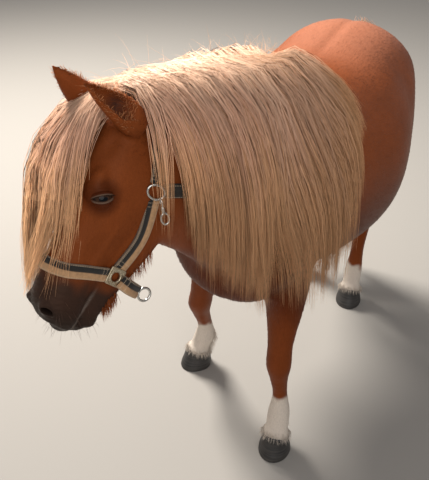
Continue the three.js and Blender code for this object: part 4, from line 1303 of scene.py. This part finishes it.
for sign, side_name in ((1, "left"), (-1, "right")):
    place, out, down_nose, third = seat(*SQUARE_AT, sign)
    c, s = np.cos(turns(72)), np.sin(turns(72))
    rim = SQUARE_HALF / (np.abs(c) ** 6 + np.abs(s) ** 6) ** (1 / 6)
    lugs = 1.2 * ridge(np.abs(c) - 0.71, 0.10)
    rings = []
    for share, height in SQUARE_PROFILE:
        radius = SQUARE_EYE + (rim + lugs - SQUARE_EYE) * share
        rings.append(place + down_nose * (radius * c)[:, None] + third * (radius * s)[:, None]
                     + out * (SEAT_HEIGHT + height))
    places = np.stack(rings, 1).reshape(-1, 3)
    square = object_of("cast_square_" + side_name, to_row(places),
                       bridged(len(c), len(SQUARE_PROFILE), closed=True), cast_finish)
    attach(square, "root")
    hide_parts("halter_square_" + side_name)
    place, out, down_nose, third = seat(*RING_AT, sign)
    ring_line = oval(place + out * SEAT_HEIGHT, down_nose, third, RING_RADIUS, RING_RADIUS * 1.3)
    ring = bar("oval_ring_" + side_name, ring_line, RING_BAR, chrome_finish, True)
    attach(ring, "root")
    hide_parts("halter_ring_" + side_name)
place, out, down_nose, _ = seat(*TIE_AT)
tie_line = oval(place + out * (CHIN_SLACK + 22), out, down_nose, RING_RADIUS, RING_RADIUS)
tie_ring = bar("tie_ring", tie_line, RING_BAR, chrome_finish, True)
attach(tie_ring, "root")
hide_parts("halter_tie_ring")
place, out, *_ = seat(*RING_AT)
ring_low = place + out * 10 + head_way(0, 0.45, -0.9) * RING_RADIUS
hang = unit(head_way(0, 0.35, -0.55) + DOWN * 0.9)
SNAP = [
    ("snap_eye", oval(ring_low + hang * 8, hang, out, 9, 6, 36), 2.0, True),
    ("snap_body", np.array([ring_low + hang * (16 + 2 * i) for i in range(10)]),
     2.4 + 2.2 * np.sin(np.linspace(0.5, 2.9, 10)) ** 2, False),
    ("snap_hook", oval(ring_low + hang * 44, hang, np.cross(hang, out), 12, 8, 36), 2.2, True),
]
for part_name, points, thickness, closed in SNAP:
    piece = bar(part_name, points, thickness, chrome_finish, closed)
    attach(piece, "root")

# Coat: short closed tufts that lie along the body, rooted over the whole skin but for the hooves'
# rims, the eyes, the nostrils and the mouth: longest on the throat, chest and belly.
TUFTS_BODY, TUFTS_HEAD = 92000, 44000
TUFT_CORNERS = ((0, 3, 2), (2, 3, 1), (1, 3, 0), (0, 2, 1))
TUFT_PATCH = ((0, 0), (0.003, 0), (0.0015, 0.0015), (0.0015, 0.003))
mesh = skin.data
mesh.calc_loop_triangles()
flat = np.empty(len(mesh.loop_triangles) * 3, dtype=np.int32)
mesh.loop_triangles.foreach_get("vertices", flat)
triangle = flat.reshape(-1, 3)
corner_a, corner_b, corner_c = (skin_mm[triangle[:, k]] for k in range(3))
area = np.linalg.norm(np.cross(corner_b - corner_a, corner_c - corner_a), axis=1) / 2
middle = (corner_a + corner_b + corner_c) / 3
skin_normals = mesh_rows(mesh, "normal")


def lie_of(places_mm, normals):
    # which way the coat lies: back and down on the body, down the legs, down the face
    at = head_places(places_mm)
    own_head = headness(places_mm)[:, None]
    y, z = places_mm[:, 1], places_mm[:, 2]
    way = np.stack([np.zeros(len(y)), np.ones(len(y)), -0.35 - 0.5 * rise(-y, 0, 260)], -1)
    leg = (1 - rise(z, 420, 600))[:, None]
    way = toward(way, DOWN, leg)
    back = rise(at[:, 1], 30, 90)[:, None]
    face = head_way(0, 1, 0) * (2 * back - 1) + head_way(0, 0, -0.3) * 0.35
    return square_to(normals, toward(way, face, own_head))


def grow_coat(name, count, weight, length_of, width, lift):
    chance = area * weight
    pick = rng.choice(len(area), count, p=chance / chance.sum())
    u, v = rng.random((2, count))
    flip = u + v > 1
    u, v = np.where(flip, 1 - u, u), np.where(flip, 1 - v, v)
    root = corner_a[pick] + u[:, None] * (corner_b - corner_a)[pick]
    root = root + v[:, None] * (corner_c - corner_a)[pick]
    normal = unit(skin_normals[triangle[pick, 0]])
    lie = lie_of(root, normal)
    across = np.cross(normal, lie)
    length = length_of(root)
    kept = length > 0.5
    root, normal, lie, across, length = root[kept], normal[kept], lie[kept], across[kept], length[kept]
    count = len(root)
    lie = unit(lie + across * rng.normal(0, 0.16, (count, 1)))
    wide = width * np.clip(length / 10, 0.5, 1.4)[:, None] * rng.uniform(0.7, 1.3, (count, 1))
    long = (length * rng.uniform(0.7, 1.3, count))[:, None]
    up = lift * (0.3 + 2.4 * rng.random((count, 1)) ** 5) * long
    base = root - normal * 0.15
    places = np.stack([
        base - across * wide - lie * 0.8, base + across * wide - lie * 0.8, base + normal * (0.4 + 0.1 * up),
        root + lie * long + normal * up,
    ], 1).reshape(-1, 3)
    facing = np.stack([normal - across * 0.45, normal + across * 0.45, normal, normal + lie * 0.3], 1)
    facing = unit(facing + rng.normal(0, 0.07, (count, 1, 3)))
    triangles = (np.arange(count) * 4)[:, None, None] + np.array(TUFT_CORNERS)
    colours = np.repeat(coat_colours(root) * rng.uniform(0.82, 1.2, (count, 1)), 4, 0)
    colours[3::4] *= 1.08
    uv = np.repeat(unwrap(root), 4, 0) + np.tile(TUFT_PATCH, (count, 1))
    made = fast_mesh(name, to_row(places), triangles.reshape(-1, 3), coat_finish, np.clip(colours, 0, 1),
                     uv, facing.reshape(-1, 3))
    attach(made, "root")


def body_length(places_mm):
    y, z = places_mm[:, 1], places_mm[:, 2]
    length = np.full(len(y), 8.0)
    length += 5 * bump_at(places_mm - (0, -250, 620), (160, 90, 120))
    length += 8 * bump_at(places_mm * (0, 1, 1) - (0, 250, 450), (1, 400, 60))
    length -= 3 * (1 - rise(z, 300, 500))
    return length


def head_length(places_mm):
    at = head_places(places_mm)
    length = 5.0 - 3.2 * rise(at[:, 1], 250, 350)
    length += 16 * bump_at(at * (0, 1, 1) - (0, 250, -200), (1, 60, 26))
    length += 9 * bump_at(at * (0, 1, 1) - (0, 90, -240), (1, 90, 30))
    return length


coat_finish = hair_material("chestnut_coat", roughness=0.38, gloss=0.10)
middle_head = headness(middle)
calm = np.ones(len(middle))
for centre, *_ in eyes.values():
    calm *= rise(np.linalg.norm(middle - centre, axis=1), 25, 34)
for centre, out, *_ in nostrils.values():
    calm *= rise(np.linalg.norm(middle - centre - out * 9, axis=1), 14, 24)
middle_at = head_places(middle)
calm *= np.where(middle_at[:, 1] > 300, rise(np.abs(over_mouth(middle_at)), 5, 9), 1)
on_foot = rise(middle[:, 2], 40, 60)
for number in (1, 2):
    grow_coat("coat_body_%d" % number, TUFTS_BODY // 2, (1 - middle_head) * on_foot, body_length,
              width=0.75, lift=0.10)
grow_coat("coat_head", TUFTS_HEAD, middle_head * calm, head_length, width=0.5, lift=0.08)

# Long hairs of the coat: a beard under the jaw, feather behind the fetlocks, fringes over the
# hooves, fluff in and round the ears, tufts at the poll, eyelashes and whiskers.
BEARDS, FEATHERS, FRINGES, EAR_HAIRS, POLL_HAIRS, LASHES, WHISKERS = 620, 190, 400, 280, 300, 46, 70
LASH_BROWN = (0.030, 0.016, 0.010)


def tuft_lines(roots, starts, lengths, droop, stations=6):
    lines = [roots]
    way = unit(starts)
    for _ in range(stations - 1):
        way = unit(way + DOWN * droop)
        lines.append(lines[-1] + way * (lengths / (stations - 1))[:, None])
    return np.stack(lines, 1)


def coat_tint(low, high, other=CHESTNUT, share=0.0):
    # the coat's colour where the hair is rooted, its painted shade and sheen included, a little darker or
    # lighter from hair to hair
    def tint(lines, t):
        own = toward(coat_colours(lines[:, 0]), other, share)
        tone = rng.uniform(low, high, (len(lines), 1, 1)) * (1 + 0.25 * t[None, :, None])
        return np.clip(own[:, None, :] * tone, 0.004, 1)
    return tint


def rooted(where_true, count):
    pick = rng.choice(np.flatnonzero(where_true), count)
    return skin_mm[pick] + rng.normal(0, 0.8, (count, 3)), skin_normals[pick]


def long_hairs(name, lines, width, tint):
    made = hair_mesh(name, lines, width, coat_finish, tint)
    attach(made, "root")


left_of, nose_of, up_of = at_head.T
under_jaw = (on_its_head > 0.5) & (skin_normals @ head_way(0, 0, -1) > 0.5) & (np.abs(left_of) < 32)
sparse = (nose_of > 196) & (nose_of < 262) & (rng.random(len(nose_of)) < 0.3)
under_jaw &= (nose_of > 300) & (nose_of < 344) | sparse
root, normal = rooted(under_jaw, BEARDS)
start = normal * 0.4 + DOWN * 0.8 + head_way(0, 1, 0) * 0.35 + rng.normal(0, 0.16, root.shape)
long_hairs("beard", tuft_lines(root, start, rng.uniform(14, 34, BEARDS), 0.12), 0.45,
           coat_tint(0.8, 1.4, share=0.8))

feather_lines, fringe_lines = [], []
z = skin_mm[:, 2]
for *_, foot, turn in LEGS.values():
    swing = math.radians(turn)
    backward = np.array((-math.sin(swing), math.cos(swing), 0.0))
    away, ahead = by_foot(skin_mm, foot, turn)
    root, normal = rooted((away < 90) & (z > 66) & (z < 140) & (skin_normals @ backward > 0.45), FEATHERS)
    start = backward * 0.5 + DOWN + rng.normal(0, 0.16, root.shape)
    feather_lines.append(tuft_lines(root, start, rng.uniform(18, 44, FEATHERS), 0.2))
    above_rim = z - CORONET_SLOPE * ahead
    root, normal = rooted((away < 90) & (above_rim > 56) & (above_rim < 70), FRINGES)
    start = normal * 0.75 + DOWN + rng.normal(0, 0.12, root.shape)
    fringe_lines.append(tuft_lines(root, start, rng.uniform(11, 21, FRINGES), 0.16, 4))
long_hairs("fetlock_feather", np.concatenate(feather_lines), 0.6, coat_tint(0.75, 1.1))
long_hairs("hoof_fringe", np.concatenate(fringe_lines), 0.5, coat_tint(0.7, 1.1))

fluff_lines = []
for sign, (form, base, way, across, front) in ears.items():
    here = (left_of * sign > 0) & (ear_share > 0.12) & (ear_share < 0.85)
    root, normal = rooted(here & (ear_inside > 0.1) & (ear_inside < 0.75), EAR_HAIRS)
    start = front * 0.8 + way * 0.7 + rng.normal(0, 0.3, root.shape)
    fluff_lines.append(tuft_lines(root, start, rng.uniform(7, 17, EAR_HAIRS), 0.03))
    root, normal = rooted(here & (ear_inside < 0.1) & (skin_normals @ front > 0.2), EAR_HAIRS // 2)
    start = normal * 0.5 + way + rng.normal(0, 0.2, root.shape)
    fluff_lines.append(tuft_lines(root, start, rng.uniform(5, 10, EAR_HAIRS // 2), 0.03))
long_hairs("ear_fluff", np.concatenate(fluff_lines), 0.4, coat_tint(0.8, 1.7, HAIR_GOLD, 0.25))

at_poll = (nose_of > -40) & (nose_of < 60) & (np.abs(left_of) > 16) & (up_of > -80) & (ear_share < 0.05)
root, normal = rooted(at_poll & (on_its_head > 0.1), POLL_HAIRS)
start = normal * 0.5 + head_way(0, -0.8, -0.2) + rng.normal(0, 0.3, root.shape)
long_hairs("poll_tufts", tuft_lines(root, start, rng.uniform(5, 11, POLL_HAIRS), 0.1), 0.4,
           coat_tint(0.8, 1.15))

lash_lines = []
for centre, out, slit, down in eyes.values():
    s = np.linspace(-SLIT_HALF * 0.8, SLIT_HALF * 0.8, LASHES) / EYE_RADIUS
    w = -(LID_UPPER + 0.6) * np.clip(1 - (s * EYE_RADIUS / SLIT_HALF) ** 2, 0, 1) ** 0.8 / EYE_RADIUS
    way = np.sqrt(1 - s**2 - w**2)[:, None] * out + s[:, None] * slit + w[:, None] * down
    start = way * 0.8 + slit * s[:, None] * 0.6 + down * 0.25 + rng.normal(0, 0.08, way.shape)
    lash_lines.append(tuft_lines(centre + way * (EYE_RADIUS + LID), start, rng.uniform(6, 11, LASHES), -0.02))
long_hairs("eyelashes", np.concatenate(lash_lines), 0.3,
           lambda lines, t: np.tile(LASH_BROWN, (len(lines), len(t), 1)))

root, normal = rooted((nose_of > 325) & (up_of < -85) & (on_its_head > 0.5), WHISKERS)
start = normal + DOWN * 0.4 + rng.normal(0, 0.15, root.shape)
long_hairs("whiskers", tuft_lines(root, start, rng.uniform(12, 34, WHISKERS), 0.1), 0.22,
           coat_tint(1.5, 6.0))
